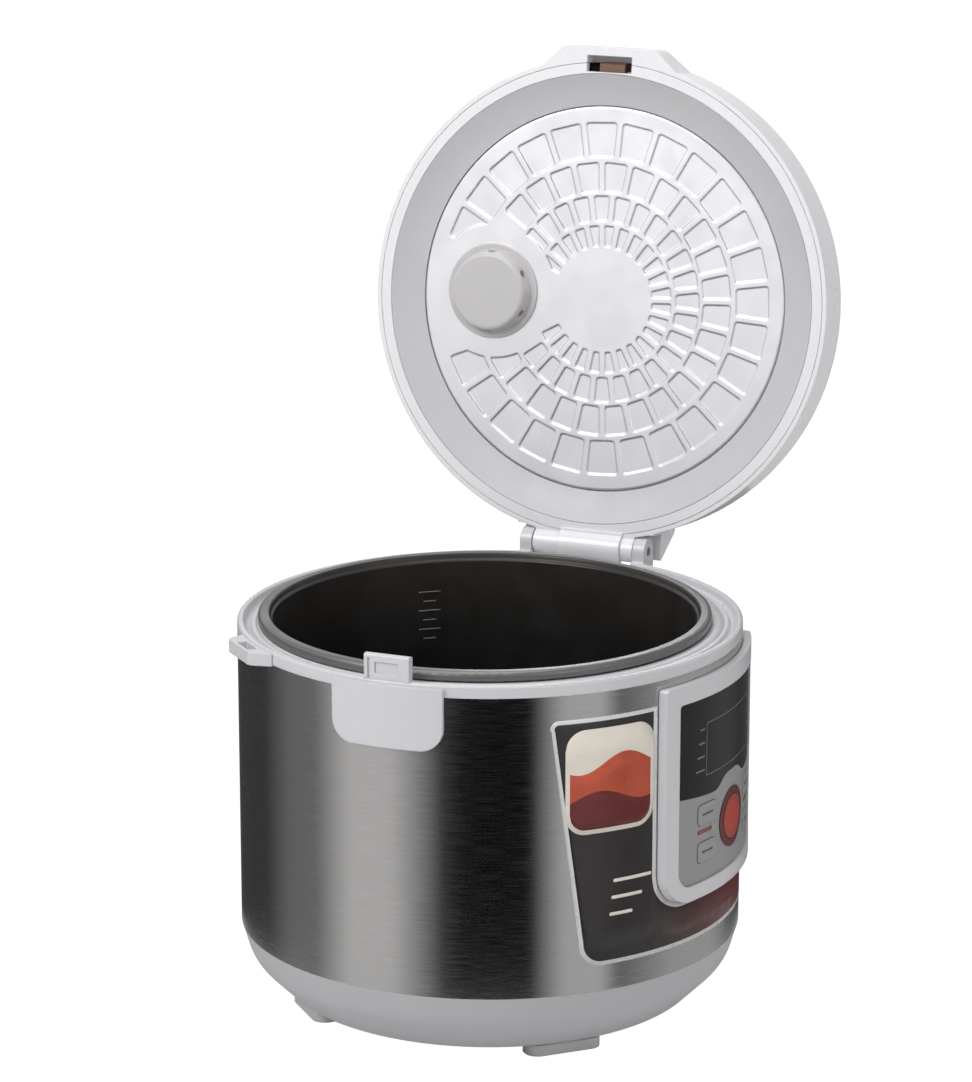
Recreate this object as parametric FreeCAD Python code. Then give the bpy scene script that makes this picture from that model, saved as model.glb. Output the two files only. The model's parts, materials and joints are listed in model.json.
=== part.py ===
import FreeCAD, Part
import math
import os

from FreeCAD import Vector

# Multicooker with a hinged lid, modelled with its lid open.
# The floor is z = 0 and the body axis is the Z axis. The lid catch faces -Y,
# the hinge is at +Y and the control panel faces +X. All sizes are in mm.

# General clearances
FIT = 0.2
RUN_GAP = 0.3
PIN_GAP = 0.08

# Steel band round the body
BAND_RADIUS = 135.0
BAND_SHEET = 0.8
BAND_BOTTOM = 43.0
BAND_HEIGHT = 161.0

# Base bowl
BOWL_WALL = 2.5
BOWL_FLAT = 110.0
BOWL_FLAT_CURVE = 10.0
BOWL_WAIST = 130.0
BOWL_WAIST_RISE = 20.0
BOWL_WAIST_CURVE = 24.0
BOWL_LIP = 8.0

# Feet
FOOT_HEIGHT = 6.0
FOOT_LENGTH = 42.0
FOOT_WIDTH = 16.0
FOOT_CIRCLE = 100.0
FOOT_COUNT = 4

# Bottom cover with its vents and screws
COVER_RADIUS = 84.0
COVER_SHEET = 1.6
COVER_LEDGE = 10.0
LEDGE_THICKNESS = 3.0
VENT_COUNT = 14
VENT_LENGTH = 26.0
VENT_WIDTH = 4.0
VENT_CIRCLE = 52.0
COVER_SCREW_COUNT = 4
SCREW_HEAD = 3.4
SCREW_HEAD_HEIGHT = 1.8
SCREW_SHANK = 1.5
SCREW_BITE = 6.0

# Collar on top of the band
COLLAR_LIP = 6.5
COLLAR_LIP_WIDTH = 3.2
COLLAR_WIDTH = 10.4
COLLAR_GUTTER = 4.4
COLLAR_RING_DROP = 2.4
COLLAR_RING_WIDTH = 2.6
COLLAR_PLATE = 2.6
COLLAR_WALL = 2.0
COLLAR_WALL_DEPTH = 6.0
COLLAR_SKIRT = 10.0

# Apron under the catch
APRON_WIDTH = 61.5
APRON_DROP = 28.5
APRON_PROUD = 2.2
APRON_CORNER = 12.0

# Catch tongue
TONGUE_WIDTH = 25.0
TONGUE_THICKNESS = 4.6
TONGUE_RISE = 12.8
TONGUE_ROOT = 4.0
TONGUE_INSET = 1.0
TONGUE_RECESS = 0.8

# Ladle holder lug on the left of the collar
LUG_ANGLE = 42.0
LUG_LENGTH = 44.0
LUG_REACH = 9.0
LUG_HEIGHT = 6.8
LUG_SLOT_LENGTH = 15.0
LUG_SLOT_WIDTH = 4.8

# Inner pot
POT_RIM_GAP = 3.3
POT_SHIFT = -3.0
POT_RISE = 3.1
POT_FLANGE = 6.0
POT_WALL = 2.0
POT_BASE = 2.4
POT_DEPTH = 148.0
POT_CORNER = 24.0
POT_RIM_HEIGHT = 5.4

# Well liner, heater and temperature sensor
LINER_SHEET = 0.8
LINER_LEDGE = 44.0
LINER_TOP_DROP = 5.0
HEATER_RADIUS = 92.0
HEATER_THICKNESS = 9.0
HEATER_STAND = 7.0
HEATER_EDGE = 3.0
HEATER_POST = 4.0
HEATER_POST_COUNT = 3
HEATER_POST_CIRCLE = 86.0
COIL_CIRCLE = 64.0
COIL_TUBE = 4.0
COIL_SWEEP = 310.0
COIL_TAIL = 14.0
SENSOR_RADIUS = 15.5
SENSOR_WALL = 1.6
SENSOR_SKIRT = 9.0
SENSOR_HOLDER_WALL = 2.0
SENSOR_HOLDER_DEPTH = 14.0
SENSOR_SPRING_RADIUS = 8.0
SENSOR_WIRE = 0.7
SENSOR_TURNS = 4
STANDOFF_RADIUS = 5.0
STANDOFF_CIRCLE = 101.0
STANDOFF_COUNT = 4
FUSE_RADIUS = 2.6
FUSE_LENGTH = 22.0
FUSE_CIRCLE = 40.0

# Power board and inlet
BOARD_LENGTH = 74.0
BOARD_WIDTH = 44.0
BOARD_SHEET = 1.6
BOARD_STAND = 7.0
BOARD_OFFSET = -42.0
BOARD_POST = 3.0
INLET_WIDTH = 30.0
INLET_HEIGHT = 23.0
INLET_DEPTH = 22.0
INLET_FACE = 124.0
INLET_RISE = 6.0
INLET_WALL = 3.0
SOCKET_WIDTH = 24.2
SOCKET_HEIGHT = 16.8
SOCKET_DEPTH = 16.5
SOCKET_CORNER = 4.5
PIN_SPREAD = 7.0
PIN_DROP = 2.0
PIN_WIDTH = 2.0
PIN_HEIGHT = 4.0
PIN_LENGTH = 10.0
PIN_TAIL = 6.0

# Control panel
PANEL_PROUD = 4.6
PANEL_WIDTH = 124.0
PANEL_BOTTOM = 81.0
PANEL_TOP_DROP = 4.6
PANEL_CORNER = 18.0
PANEL_TOP_CORNER = 2.0
PANEL_SIDE_BORDER = 8.5
PANEL_TOP_BORDER = 10.0
PANEL_BOTTOM_BORDER = 8.0
PANEL_SKIRT_WALL = 1.6
PANEL_SKIRT_DEPTH = 8.4
PANEL_EDGE = 1.4
FASCIA_RECESS = 1.3
FASCIA_SHEET = 1.6
DISPLAY_WIDTH = 60.0
DISPLAY_HEIGHT = 30.0
DISPLAY_RISE = 81.5
PCB_HALF_WIDTH = 33.0
PCB_SHEET = 1.6
PCB_MARGIN = 4.0
PCB_SET_BACK = 7.8
PCB_RIB = 2.4
START_RADIUS = 12.0
START_RISE = 34.5
START_PROUD = 0.8
START_TRAVEL = 1.0
RING_RADIUS = 16.3
RING_PROUD = 0.5
KEY_WIDTH = 17.0
KEY_HEIGHT = 11.0
KEY_CORNER = 2.5
KEY_ANGLE = 12.2
KEY_RISE_LOW = 24.0
KEY_RISE_HIGH = 44.5
KEY_PROUD = 0.5
KEY_DEPTH = 3.6
KEY_TRAVEL = 0.6
SWITCH_SIDE = 6.0

# Hinge
HINGE_Y = 138.6
HINGE_RISE = 4.5
HINGE_WIDTH = 60.0
HINGE_ROUND = 7.0
EAR_THICKNESS = 7.0
EAR_ROUND = 7.5
EAR_GAP = 0.5
PIN_RADIUS = 2.5
HINGE_NOTCH = 4.0
BOSS_WIDTH = 82.0
BOSS_CLEAR = 2.0
SPRING_POCKET = 6.2
SPRING_POCKET_LENGTH = 15.0
SPRING_POCKET_OFFSET = 14.0
SPRING_RADIUS = 4.3
SPRING_WIRE = 0.8
SPRING_TURNS = 6
KNUCKLE_COVER_WIDTH = 37.0
KNUCKLE_COVER_FRONT = 132.0
KNUCKLE_COVER_SHIFT = 4.0
KNUCKLE_COVER_THICKNESS = 1.4
KNUCKLE_COVER_ROUND = 1.7
KNUCKLE_COVER_BORDER = 2.4
LID_OPEN_ANGLE = 97.0

# Lid, in its closed position
LID_GAP = 1.5
LID_INSET = 0.5
LID_WALL = 2.5
LID_WALL_HEIGHT = 35.0
LID_SHOULDER = 100.0
LID_SHOULDER_HEIGHT = 44.0
LID_CROWN = 46.0
LID_EDGE_CURVE = 16.0
LID_SHOULDER_CURVE = 110.0
RIM_DEPTH = 7.2
RIM_SHEET = 2.0
LINER_FLANGE = 10.0
LID_POST = 4.5
LID_POST_COUNT = 4
LID_SCREW_HEAD = 2.8
LID_SCREW_HEAD_HEIGHT = 1.2
LID_SCREW_SHANK = 1.2
LID_SCREW_BITE = 8.0

# Seal and embossed inner plate
SEAL_OVERLAP = 1.5
SEAL_THICKNESS = 2.0
SEAL_SAG = 0.8
PLATE_RADIUS = 108.0
PLATE_SHEET = 1.8
PLATE_EDGE = 0.9
PAD_COUNT = 28
PAD_DEPTH = 0.9
PAD_CORNER = 1.6
PAD_RIB = 3.4
PAD_ROWS = ((98.5, 79.5), (76.3, 60.1), (57.8, 43.9), (41.2, 29.8))
PAD_CLEAR = 38.0
PAD_LEAST_SHARE = 0.45

# Steam valve
VALVE_X = -66.0
VALVE_CAP_BASE = 27.0
VALVE_CAP_FACE = 21.5
VALVE_CAP_HEIGHT = 9.6
VALVE_CAP_WALL = 1.6
VALVE_CAP_FLANGE = 1.4
VALVE_NECK = 16.5
VALVE_NECK_RISE = 3.6
VALVE_PORTS = 6
VALVE_PORT_RADIUS = 2.2
GROMMET_WIDTH = 4.0
VENT_CAP_RADIUS = 24.5
VENT_CAP_HEIGHT = 7.4
VENT_CAP_WALL = 2.0
VENT_POCKET_DEPTH = 4.6
VENT_STEM = 13.7
VENT_STEM_WALL = 2.0
VENT_SLOTS = 3
VENT_SLOT_LENGTH = 22.0
VENT_SLOT_WIDTH = 2.6

# Lid latch
LATCH_SLOT_GAP = 0.8
BUMP_WIDTH = 88.0
BUMP_FACE_WIDTH = 54.0
BUMP_REACH = 6.0
BUMP_HEIGHT = 25.0
BOLT_WIDTH = 15.0
BOLT_RISE = 5.2
BOLT_HEIGHT = 4.0
BOLT_ENTRY = 2.7
BOLT_NOSE = 9.5
BOLT_TAIL = 8.2
RAMP_HEIGHT = 8.5
BOLT_TRAVEL = 3.0
BUTTON_WIDTH = 36.0
BUTTON_LENGTH = 19.0
BUTTON_PROUD = 1.6
BUTTON_DEPTH = 13.0
WEDGE_WIDTH = 8.0
WEDGE_LENGTH = 4.5
LATCH_SPRING_RADIUS = 2.3
LATCH_WIRE = 0.6
LATCH_TURNS = 5
LATCH_SPRING_LENGTH = 10.0
LATCH_STOP = 2.0

# Heights and radii that follow from the sizes above
BOWL_FLOOR = FOOT_HEIGHT
BAND_TOP = BAND_BOTTOM + BAND_HEIGHT
BAND_INSIDE = BAND_RADIUS - BAND_SHEET
LIP_TOP = BAND_TOP + COLLAR_LIP
COLLAR_OPENING = BAND_RADIUS - COLLAR_WIDTH
POT_RIM = COLLAR_OPENING - POT_RIM_GAP
POT_RADIUS = POT_RIM - POT_FLANGE
POT_RIM_TOP = LIP_TOP + POT_RISE
POT_UNDERSIDE = POT_RIM_TOP - POT_DEPTH - POT_BASE
HEATER_TOP = POT_UNDERSIDE - RUN_GAP
HEATER_UNDERSIDE = HEATER_TOP - HEATER_THICKNESS
LINER_FLOOR = HEATER_UNDERSIDE - HEATER_STAND
LINER_RADIUS = COLLAR_OPENING - RUN_GAP
COVER_TOP = BOWL_FLOOR + COVER_SHEET
COVER_SCREW_CIRCLE = COVER_RADIUS - COVER_LEDGE / 2
PANEL_FRONT = BAND_RADIUS + PANEL_PROUD
PANEL_TOP = BAND_TOP - PANEL_TOP_DROP
WINDOW_HALF = PANEL_WIDTH / 2 - PANEL_SIDE_BORDER
WINDOW_BOTTOM = PANEL_BOTTOM + PANEL_BOTTOM_BORDER
WINDOW_TOP = PANEL_TOP - PANEL_TOP_BORDER
WINDOW_CORNER = PANEL_CORNER - PANEL_BOTTOM_BORDER
FASCIA_FRONT = PANEL_FRONT - FASCIA_RECESS
FASCIA_BACK = FASCIA_FRONT - FASCIA_SHEET
PCB_FRONT = FASCIA_FRONT - FASCIA_SHEET - PCB_SET_BACK
HINGE_Z = LIP_TOP + HINGE_RISE
LID_RIM = LIP_TOP + LID_GAP
LID_RADIUS = BAND_RADIUS - LID_INSET
LID_INSIDE = LID_RADIUS - LID_WALL
RIM_OUTSIDE = LID_INSIDE - FIT
SEAL_OUTSIDE = POT_RIM + abs(POT_SHIFT) + SEAL_OVERLAP
SEAL_INSIDE = PLATE_RADIUS + FIT
PLATE_FACE = LID_RIM + RIM_DEPTH
PLATE_BACK = PLATE_FACE + PLATE_SHEET
FLANGE_TOP = PLATE_BACK + RIM_SHEET
TONGUE_FACE = BAND_RADIUS - TONGUE_INSET
TONGUE_BACK = TONGUE_FACE - TONGUE_THICKNESS
TONGUE_TOP = LIP_TOP + TONGUE_RISE
BOLT_FOOT = LID_RIM + BOLT_RISE
BOLT_TOP = BOLT_FOOT + BOLT_HEIGHT
BOLT_TIP = TONGUE_BACK + BOLT_ENTRY
CATCH_WALL = SEAL_OUTSIDE + 4 * FIT
BUTTON_MIDDLE = BOLT_TIP - BOLT_NOSE - BOLT_TAIL + 2.0
VENT_SEAT = LID_RIM + LID_CROWN - VENT_POCKET_DEPTH


def upright(u, v):
    return Vector(u, 0, v)


def sideways(u, v):
    return Vector(0, u, v)


def level(u, v):
    return Vector(u, v, 0)


def outline(points, place):
    """Closed wire through (u, v) corners; a third value rounds that corner."""
    spots = [Vector(point[0], point[1], 0) for point in points]
    count = len(spots)
    runs = []
    for index, spot in enumerate(spots):
        radius = points[index][2] if len(points[index]) > 2 else 0.0
        if radius == 0.0:
            runs.append((spot, None, spot))
            continue
        back = (spots[index - 1] - spot).normalize()
        ahead = (spots[(index + 1) % count] - spot).normalize()
        half = back.getAngle(ahead) / 2
        middle = (back + ahead).normalize()
        centre = spot + middle * (radius / math.sin(half))
        reach = radius / math.tan(half)
        runs.append((spot + back * reach, centre - middle * radius, spot + ahead * reach))
    edges = []
    for index, (start, middle, end) in enumerate(runs):
        if middle is not None:
            arc = Part.Arc(place(start.x, start.y), place(middle.x, middle.y), place(end.x, end.y))
            edges.append(arc.toShape())
        following = runs[(index + 1) % count][0]
        if end.distanceToPoint(following) > 1e-6:
            line = Part.LineSegment(place(end.x, end.y), place(following.x, following.y))
            edges.append(line.toShape())
    return Part.Wire(edges)


def turned(points):
    """Solid of revolution about the body axis from a (radius, height) outline."""
    face = Part.Face(outline(points, upright))
    return face.revolve(Vector(0, 0, 0), Vector(0, 0, 1), 360)


def prism(points, place, start, travel):
    face = Part.Face(outline(points, place))
    face.translate(start)
    return face.extrude(travel)


def rod(radius, start, travel):
    return Part.makeCylinder(radius, travel.Length, start, travel)


def disc(radius, bottom, top):
    return Part.makeCylinder(radius, top - bottom, Vector(0, 0, bottom))


def tube(outer, inner, bottom, top):
    return disc(outer, bottom, top).cut(disc(inner, bottom - 1, top + 1))


def block(x_low, x_high, y_low, y_high, z_low, z_high):
    corner = Vector(x_low, y_low, z_low)
    return Part.makeBox(x_high - x_low, y_high - y_low, z_high - z_low, corner)


def turned_to(shape, degrees):
    """Copy of a shape turned about the body axis."""
    copy = shape.copy()
    copy.rotate(Vector(0, 0, 0), Vector(0, 0, 1), degrees)
    return copy


def around(shape, count, first=0.0):
    return [turned_to(shape, first + 360.0 * step / count) for step in range(count)]


def joined(first, others):
    return first.fuse(others).removeSplitter()


def coil(radius, wire, turns, length, start, along):
    """Spring of half turns, each a half ring tilted so that the turns climb."""
    rise = (length - 2 * wire) / (2 * turns)
    rings = []
    for half in range(2 * turns):
        side = 1 if half % 2 == 0 else -1
        begin = Vector(side * radius, 0, wire + half * rise)
        centre = Vector(0, 0, begin.z + rise / 2)
        section = Part.Face(Part.Wire(Part.makeCircle(wire, begin, Vector(0, 1, 0))))
        rings.append(section.revolve(centre, Vector(side * rise / 2, 0, radius), 180))
    spring = joined(rings[0], rings[1:])
    turn = FreeCAD.Rotation(Vector(0, 0, 1), along)
    spring.Placement = FreeCAD.Placement(start, turn).multiply(spring.Placement)
    return spring


def opened(shape):
    """Copy of a lid piece swung from its closed place to its open stop."""
    copy = shape.copy()
    copy.rotate(Vector(0, HINGE_Y, HINGE_Z), Vector(1, 0, 0), -LID_OPEN_ANGLE)
    return copy


# Base

def bowl_section(inset):
    floor = BOWL_FLOOR + inset
    return [
        (0, floor),
        (BOWL_FLAT - 0.4 * inset, floor, BOWL_FLAT_CURVE),
        (BOWL_WAIST - inset, BOWL_FLOOR + BOWL_WAIST_RISE + 0.4 * inset, BOWL_WAIST_CURVE),
        (BAND_RADIUS - inset, BAND_BOTTOM),
        (0, BAND_BOTTOM),
    ]


def inlet_space(margin, y_low, y_high):
    half = INLET_WIDTH / 2 + margin
    low = BOWL_FLOOR + INLET_RISE - margin
    return block(-half, half, y_low, y_high, low, low + INLET_HEIGHT + 2 * margin)


def base_bowl():
    bowl = turned(bowl_section(0)).cut(turned(bowl_section(BOWL_WALL)))
    lip_outside = BAND_INSIDE - FIT
    lip = tube(lip_outside, lip_outside - BOWL_WALL, BAND_BOTTOM - BOWL_WALL, BAND_BOTTOM + BOWL_LIP)
    ledge_top = COVER_TOP + LEDGE_THICKNESS
    ledge = disc(COVER_RADIUS + COVER_LEDGE, BOWL_FLOOR, ledge_top)
    post = rod(STANDOFF_RADIUS, Vector(STANDOFF_CIRCLE, 0, BOWL_FLOOR), Vector(0, 0, LINER_FLOOR - BOWL_FLOOR))
    housing = inlet_space(INLET_WALL, INLET_FACE - INLET_DEPTH, INLET_FACE)
    bowl = joined(bowl, [lip, ledge, housing] + around(post, STANDOFF_COUNT, 45.0))
    opening = disc(COVER_RADIUS - COVER_LEDGE, 0, ledge_top + 1)
    recess = disc(COVER_RADIUS + FIT, 0, COVER_TOP)
    inlet = inlet_space(0, INLET_FACE - INLET_DEPTH - 1, INLET_FACE + BOWL_WAIST)
    screw = rod(SCREW_SHANK, Vector(COVER_SCREW_CIRCLE, 0, 0), Vector(0, 0, ledge_top + 1))
    return bowl.cut([opening, recess, inlet] + around(screw, COVER_SCREW_COUNT))


def bottom_cover():
    plate = disc(COVER_RADIUS, BOWL_FLOOR, COVER_TOP)
    half = VENT_WIDTH / 2
    ends = VENT_LENGTH / 2
    slot = prism(
        [(-ends, -half, half * 0.98), (ends, -half, half * 0.98), (ends, half, half * 0.98), (-ends, half, half * 0.98)],
        level,
        Vector(VENT_CIRCLE, 0, 0),
        Vector(0, 0, COVER_TOP + 1),
    )
    post = Vector(0, 0, BOARD_STAND)
    posts = [rod(BOARD_POST, Vector(x, y, COVER_TOP), post) for x, y in board_corners()]
    hole = rod(SCREW_SHANK, Vector(COVER_SCREW_CIRCLE, 0, 0), Vector(0, 0, COVER_TOP + 1))
    slots = around(slot, VENT_COUNT, 180.0 / VENT_COUNT)
    plate = plate.cut(slots + around(hole, COVER_SCREW_COUNT))
    return joined(plate, posts)


def cover_screws():
    head = rod(SCREW_HEAD, Vector(COVER_SCREW_CIRCLE, 0, BOWL_FLOOR - SCREW_HEAD_HEIGHT), Vector(0, 0, SCREW_HEAD_HEIGHT))
    reach = COVER_SHEET + LEDGE_THICKNESS
    shank = rod(SCREW_SHANK, Vector(COVER_SCREW_CIRCLE, 0, BOWL_FLOOR), Vector(0, 0, reach))
    return Part.makeCompound(around(joined(head, [shank]), COVER_SCREW_COUNT))


def foot_pads():
    half = FOOT_WIDTH / 2
    ends = FOOT_LENGTH / 2
    corner = half * 0.9
    pad = prism(
        [(-half, -ends, corner), (half, -ends, corner), (half, ends, corner), (-half, ends, corner)],
        level,
        Vector(FOOT_CIRCLE, 0, 0),
        Vector(0, 0, FOOT_HEIGHT),
    )
    return Part.makeCompound(around(pad, FOOT_COUNT, 45.0))


def steel_band():
    band = tube(BAND_RADIUS, BAND_INSIDE, BAND_BOTTOM, BAND_TOP)
    return band.cut(window_prism(PANEL_SKIRT_WALL + FIT))


# Collar, catch and lug

def top_collar():
    gutter = LIP_TOP - COLLAR_GUTTER
    ring = LIP_TOP - COLLAR_RING_DROP
    under = gutter - COLLAR_PLATE
    inside = COLLAR_OPENING
    skirt = BAND_INSIDE - FIT
    collar = turned([
        (BAND_RADIUS, BAND_TOP),
        (BAND_RADIUS, LIP_TOP, 1.5),
        (BAND_RADIUS - COLLAR_LIP_WIDTH, LIP_TOP, 1.2),
        (BAND_RADIUS - COLLAR_LIP_WIDTH - 0.8, gutter, 1.2),
        (inside + COLLAR_RING_WIDTH + 0.9, gutter, 1.0),
        (inside + COLLAR_RING_WIDTH, ring, 0.8),
        (inside, ring, 0.8),
        (inside, under - COLLAR_WALL_DEPTH),
        (inside + COLLAR_WALL, under - COLLAR_WALL_DEPTH),
        (inside + COLLAR_WALL, under),
        (skirt - COLLAR_WALL, under),
        (skirt - COLLAR_WALL, BAND_TOP - COLLAR_SKIRT),
        (skirt, BAND_TOP - COLLAR_SKIRT),
        (skirt, BAND_TOP),
    ])
    collar = joined(collar, [apron(), ear(1), ear(-1)])
    clear = HINGE_WIDTH / 2 + EAR_GAP
    notch = block(-clear, clear, COLLAR_OPENING - 6, BAND_RADIUS + 2, LIP_TOP - HINGE_NOTCH, LIP_TOP + 2)
    half = TONGUE_WIDTH / 2
    socket = block(-half, half, -TONGUE_FACE, -TONGUE_BACK, LIP_TOP - TONGUE_ROOT, LIP_TOP + 1)
    reach = HINGE_WIDTH + 4 * EAR_THICKNESS
    bore = rod(PIN_RADIUS + PIN_GAP, Vector(-reach / 2, HINGE_Y, HINGE_Z), Vector(reach, 0, 0))
    return collar.cut([notch, socket, bore])


def apron():
    """Curved flap that hangs from the collar over the band, below the catch."""
    half = APRON_WIDTH / 2
    low = BAND_TOP - APRON_DROP
    flap = prism(
        [(-half, low, APRON_CORNER), (half, low, APRON_CORNER), (half, LIP_TOP - 2.0), (-half, LIP_TOP - 2.0)],
        upright,
        Vector(0, 0, 0),
        Vector(0, -2 * BAND_RADIUS, 0),
    )
    outside = BAND_RADIUS + APRON_PROUD
    over_band = tube(outside, BAND_RADIUS + FIT, low - 1, BAND_TOP)
    over_lip = tube(outside, BAND_RADIUS - COLLAR_LIP_WIDTH / 2, BAND_TOP, LIP_TOP)
    return flap.common(over_band.fuse(over_lip))


def ear(side):
    """Hinge ear that stands on the rear of the collar."""
    rear = HINGE_Y + EAR_ROUND
    front = HINGE_Y - EAR_ROUND
    top = HINGE_Z + EAR_ROUND
    bend = EAR_ROUND * 0.99
    root = COLLAR_OPENING + 2
    shape = [
        (root, BAND_TOP),
        (rear, BAND_TOP, 3.0),
        (rear, top, bend),
        (front, top, bend),
        (front, LIP_TOP),
        (root, LIP_TOP - COLLAR_RING_DROP),
    ]
    inner = HINGE_WIDTH / 2 + EAR_GAP
    start = inner if side > 0 else -inner - EAR_THICKNESS
    return prism(shape, sideways, Vector(start, 0, 0), Vector(EAR_THICKNESS, 0, 0))


def catch_tongue():
    """Upright tongue that the latch bolt enters from the pot side."""
    half = TONGUE_WIDTH / 2
    foot = LIP_TOP - TONGUE_ROOT
    tongue = prism(
        [
            (-TONGUE_FACE, foot),
            (-TONGUE_BACK, foot),
            (-TONGUE_BACK, TONGUE_TOP, 1.6),
            (-TONGUE_FACE, TONGUE_TOP, 1.0),
        ],
        sideways,
        Vector(-half, 0, 0),
        Vector(TONGUE_WIDTH, 0, 0),
    )
    margin = 2 * RUN_GAP
    wide = BOLT_WIDTH / 2 + margin
    pocket = block(-wide, wide, -BOLT_TIP - margin, 0, BOLT_FOOT - margin, BOLT_TOP + margin)
    window = block(-half + 6, half - 6, -BAND_RADIUS, -TONGUE_FACE + TONGUE_RECESS, LIP_TOP + 3, TONGUE_TOP - 4)
    groove = block(-half + 2, -half + 3.4, -BAND_RADIUS, -TONGUE_FACE + TONGUE_RECESS, LIP_TOP, TONGUE_TOP - 2)
    return tongue.cut([pocket, window, groove])


def ladle_lug():
    """Clip-on lug with a through slot, beside the catch on the collar's edge."""
    top = LIP_TOP - 0.5
    low = top - LUG_HEIGHT
    half = LUG_LENGTH / 2
    near = BAND_RADIUS + FIT
    far = BAND_RADIUS + LUG_REACH
    plan = [
        (-half, -near + 4),
        (-half + 6, -far, 3.0),
        (half - 9, -far, 5.0),
        (half, -near + 4),
    ]
    lug = prism(plan, level, Vector(0, 0, low), Vector(0, 0, LUG_HEIGHT))
    lug = lug.cut(disc(near, low - 1, top + 1))
    middle = BAND_RADIUS + LUG_REACH / 2
    slot_half = LUG_SLOT_LENGTH / 2
    slot = block(
        -slot_half,
        slot_half,
        -middle - LUG_SLOT_WIDTH / 2,
        -middle + LUG_SLOT_WIDTH / 2,
        low - 1,
        top + 1,
    )
    return turned_to(lug.cut(slot), -LUG_ANGLE)


# Pot, well and heater

def inner_pot():
    rim = POT_RIM_TOP
    floor = POT_RIM_TOP - POT_DEPTH
    inside = POT_RADIUS - POT_WALL
    pot = turned([
        (0, POT_UNDERSIDE),
        (POT_RADIUS, POT_UNDERSIDE, POT_CORNER),
        (POT_RADIUS, rim - POT_RIM_HEIGHT, 1.0),
        (POT_RIM, rim - POT_RIM_HEIGHT, 0.8),
        (POT_RIM, rim, 2.4),
        (inside + 2.0, rim, 1.6),
        (inside + 1.2, rim - 3.0, 0.8),
        (inside, rim - 4.2, 1.0),
        (inside, floor, POT_CORNER - POT_WALL),
        (0, floor),
    ])
    pot.translate(Vector(POT_SHIFT, 0, 0))
    return pot


def well_liner():
    top = LIP_TOP - LINER_TOP_DROP
    ledge = LINER_RADIUS - LINER_LEDGE
    liner = turned([
        (ledge, LINER_FLOOR - LINER_SHEET),
        (LINER_RADIUS, LINER_FLOOR - LINER_SHEET, 4.0),
        (LINER_RADIUS, top),
        (LINER_RADIUS - LINER_SHEET, top),
        (LINER_RADIUS - LINER_SHEET, LINER_FLOOR, 4.0 - LINER_SHEET),
        (ledge, LINER_FLOOR),
    ])
    return liner.translated(Vector(0, 0, LINER_SHEET))


def heating_plate():
    sleeve = SENSOR_RADIUS + RUN_GAP
    return turned([
        (sleeve, HEATER_UNDERSIDE),
        (HEATER_RADIUS - HEATER_EDGE, HEATER_UNDERSIDE),
        (HEATER_RADIUS, HEATER_UNDERSIDE + HEATER_EDGE),
        (HEATER_RADIUS, HEATER_TOP, 2.5),
        (sleeve + 1.0, HEATER_TOP),
        (sleeve, HEATER_TOP - 1.0),
    ])


def heater_posts():
    low = LINER_FLOOR + LINER_SHEET
    post = rod(HEATER_POST, Vector(HEATER_POST_CIRCLE, 0, low), Vector(0, 0, HEATER_UNDERSIDE - low))
    return Part.makeCompound(around(post, HEATER_POST_COUNT, 30.0))


def heating_coil():
    """Tubular element pressed against the plate, with two tails for its wires."""
    height = HEATER_UNDERSIDE - COIL_TUBE * 0.7
    section = Part.Face(Part.Wire(Part.makeCircle(COIL_TUBE, Vector(COIL_CIRCLE, 0, height), Vector(0, 1, 0))))
    ring = section.revolve(Vector(0, 0, 0), Vector(0, 0, 1), COIL_SWEEP)
    tail = rod(COIL_TUBE * 0.5, Vector(COIL_CIRCLE, 0, height), Vector(0, 0, -COIL_TAIL))
    ring = joined(ring, [turned_to(tail, 2.0), turned_to(tail, COIL_SWEEP - 2.0)])
    ring = turned_to(ring, -COIL_SWEEP / 2)
    return ring.cut(disc(HEATER_RADIUS, HEATER_UNDERSIDE, HEATER_TOP))


def sensor_holder():
    inside = SENSOR_RADIUS + RUN_GAP
    low = HEATER_UNDERSIDE - SENSOR_HOLDER_DEPTH
    return turned([
        (4.0, low),
        (inside + SENSOR_HOLDER_WALL, low, 1.0),
        (inside + SENSOR_HOLDER_WALL, HEATER_UNDERSIDE),
        (inside, HEATER_UNDERSIDE),
        (inside, low + SENSOR_HOLDER_WALL),
        (4.0, low + SENSOR_HOLDER_WALL),
    ])


def sensor_cup():
    return turned([
        (0, HEATER_TOP - SENSOR_WALL),
        (SENSOR_RADIUS - SENSOR_WALL, HEATER_TOP - SENSOR_WALL),
        (SENSOR_RADIUS - SENSOR_WALL, HEATER_TOP - SENSOR_SKIRT),
        (SENSOR_RADIUS, HEATER_TOP - SENSOR_SKIRT),
        (SENSOR_RADIUS, HEATER_TOP, 1.2),
        (0, HEATER_TOP),
    ])


def sensor_spring():
    low = HEATER_UNDERSIDE - SENSOR_HOLDER_DEPTH + SENSOR_HOLDER_WALL
    length = HEATER_TOP - SENSOR_WALL - low
    return coil(SENSOR_SPRING_RADIUS, SENSOR_WIRE, SENSOR_TURNS, length, Vector(0, 0, low), Vector(0, 0, 1))


def thermal_fuse():
    """Small cut-out held flat against the underside of the heating plate."""
    height = HEATER_UNDERSIDE - FUSE_RADIUS * 0.8
    fuse = rod(FUSE_RADIUS, Vector(-FUSE_LENGTH / 2, FUSE_CIRCLE, height), Vector(FUSE_LENGTH, 0, 0))
    return fuse.cut(disc(HEATER_RADIUS, HEATER_UNDERSIDE, HEATER_TOP))


# Power board and inlet

def board_corners():
    reach_x = BOARD_WIDTH / 2 - BOARD_POST
    reach_y = BOARD_LENGTH / 2 - BOARD_POST
    return [(BOARD_OFFSET + x, y) for x in (-reach_x, reach_x) for y in (-reach_y, reach_y)]


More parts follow.
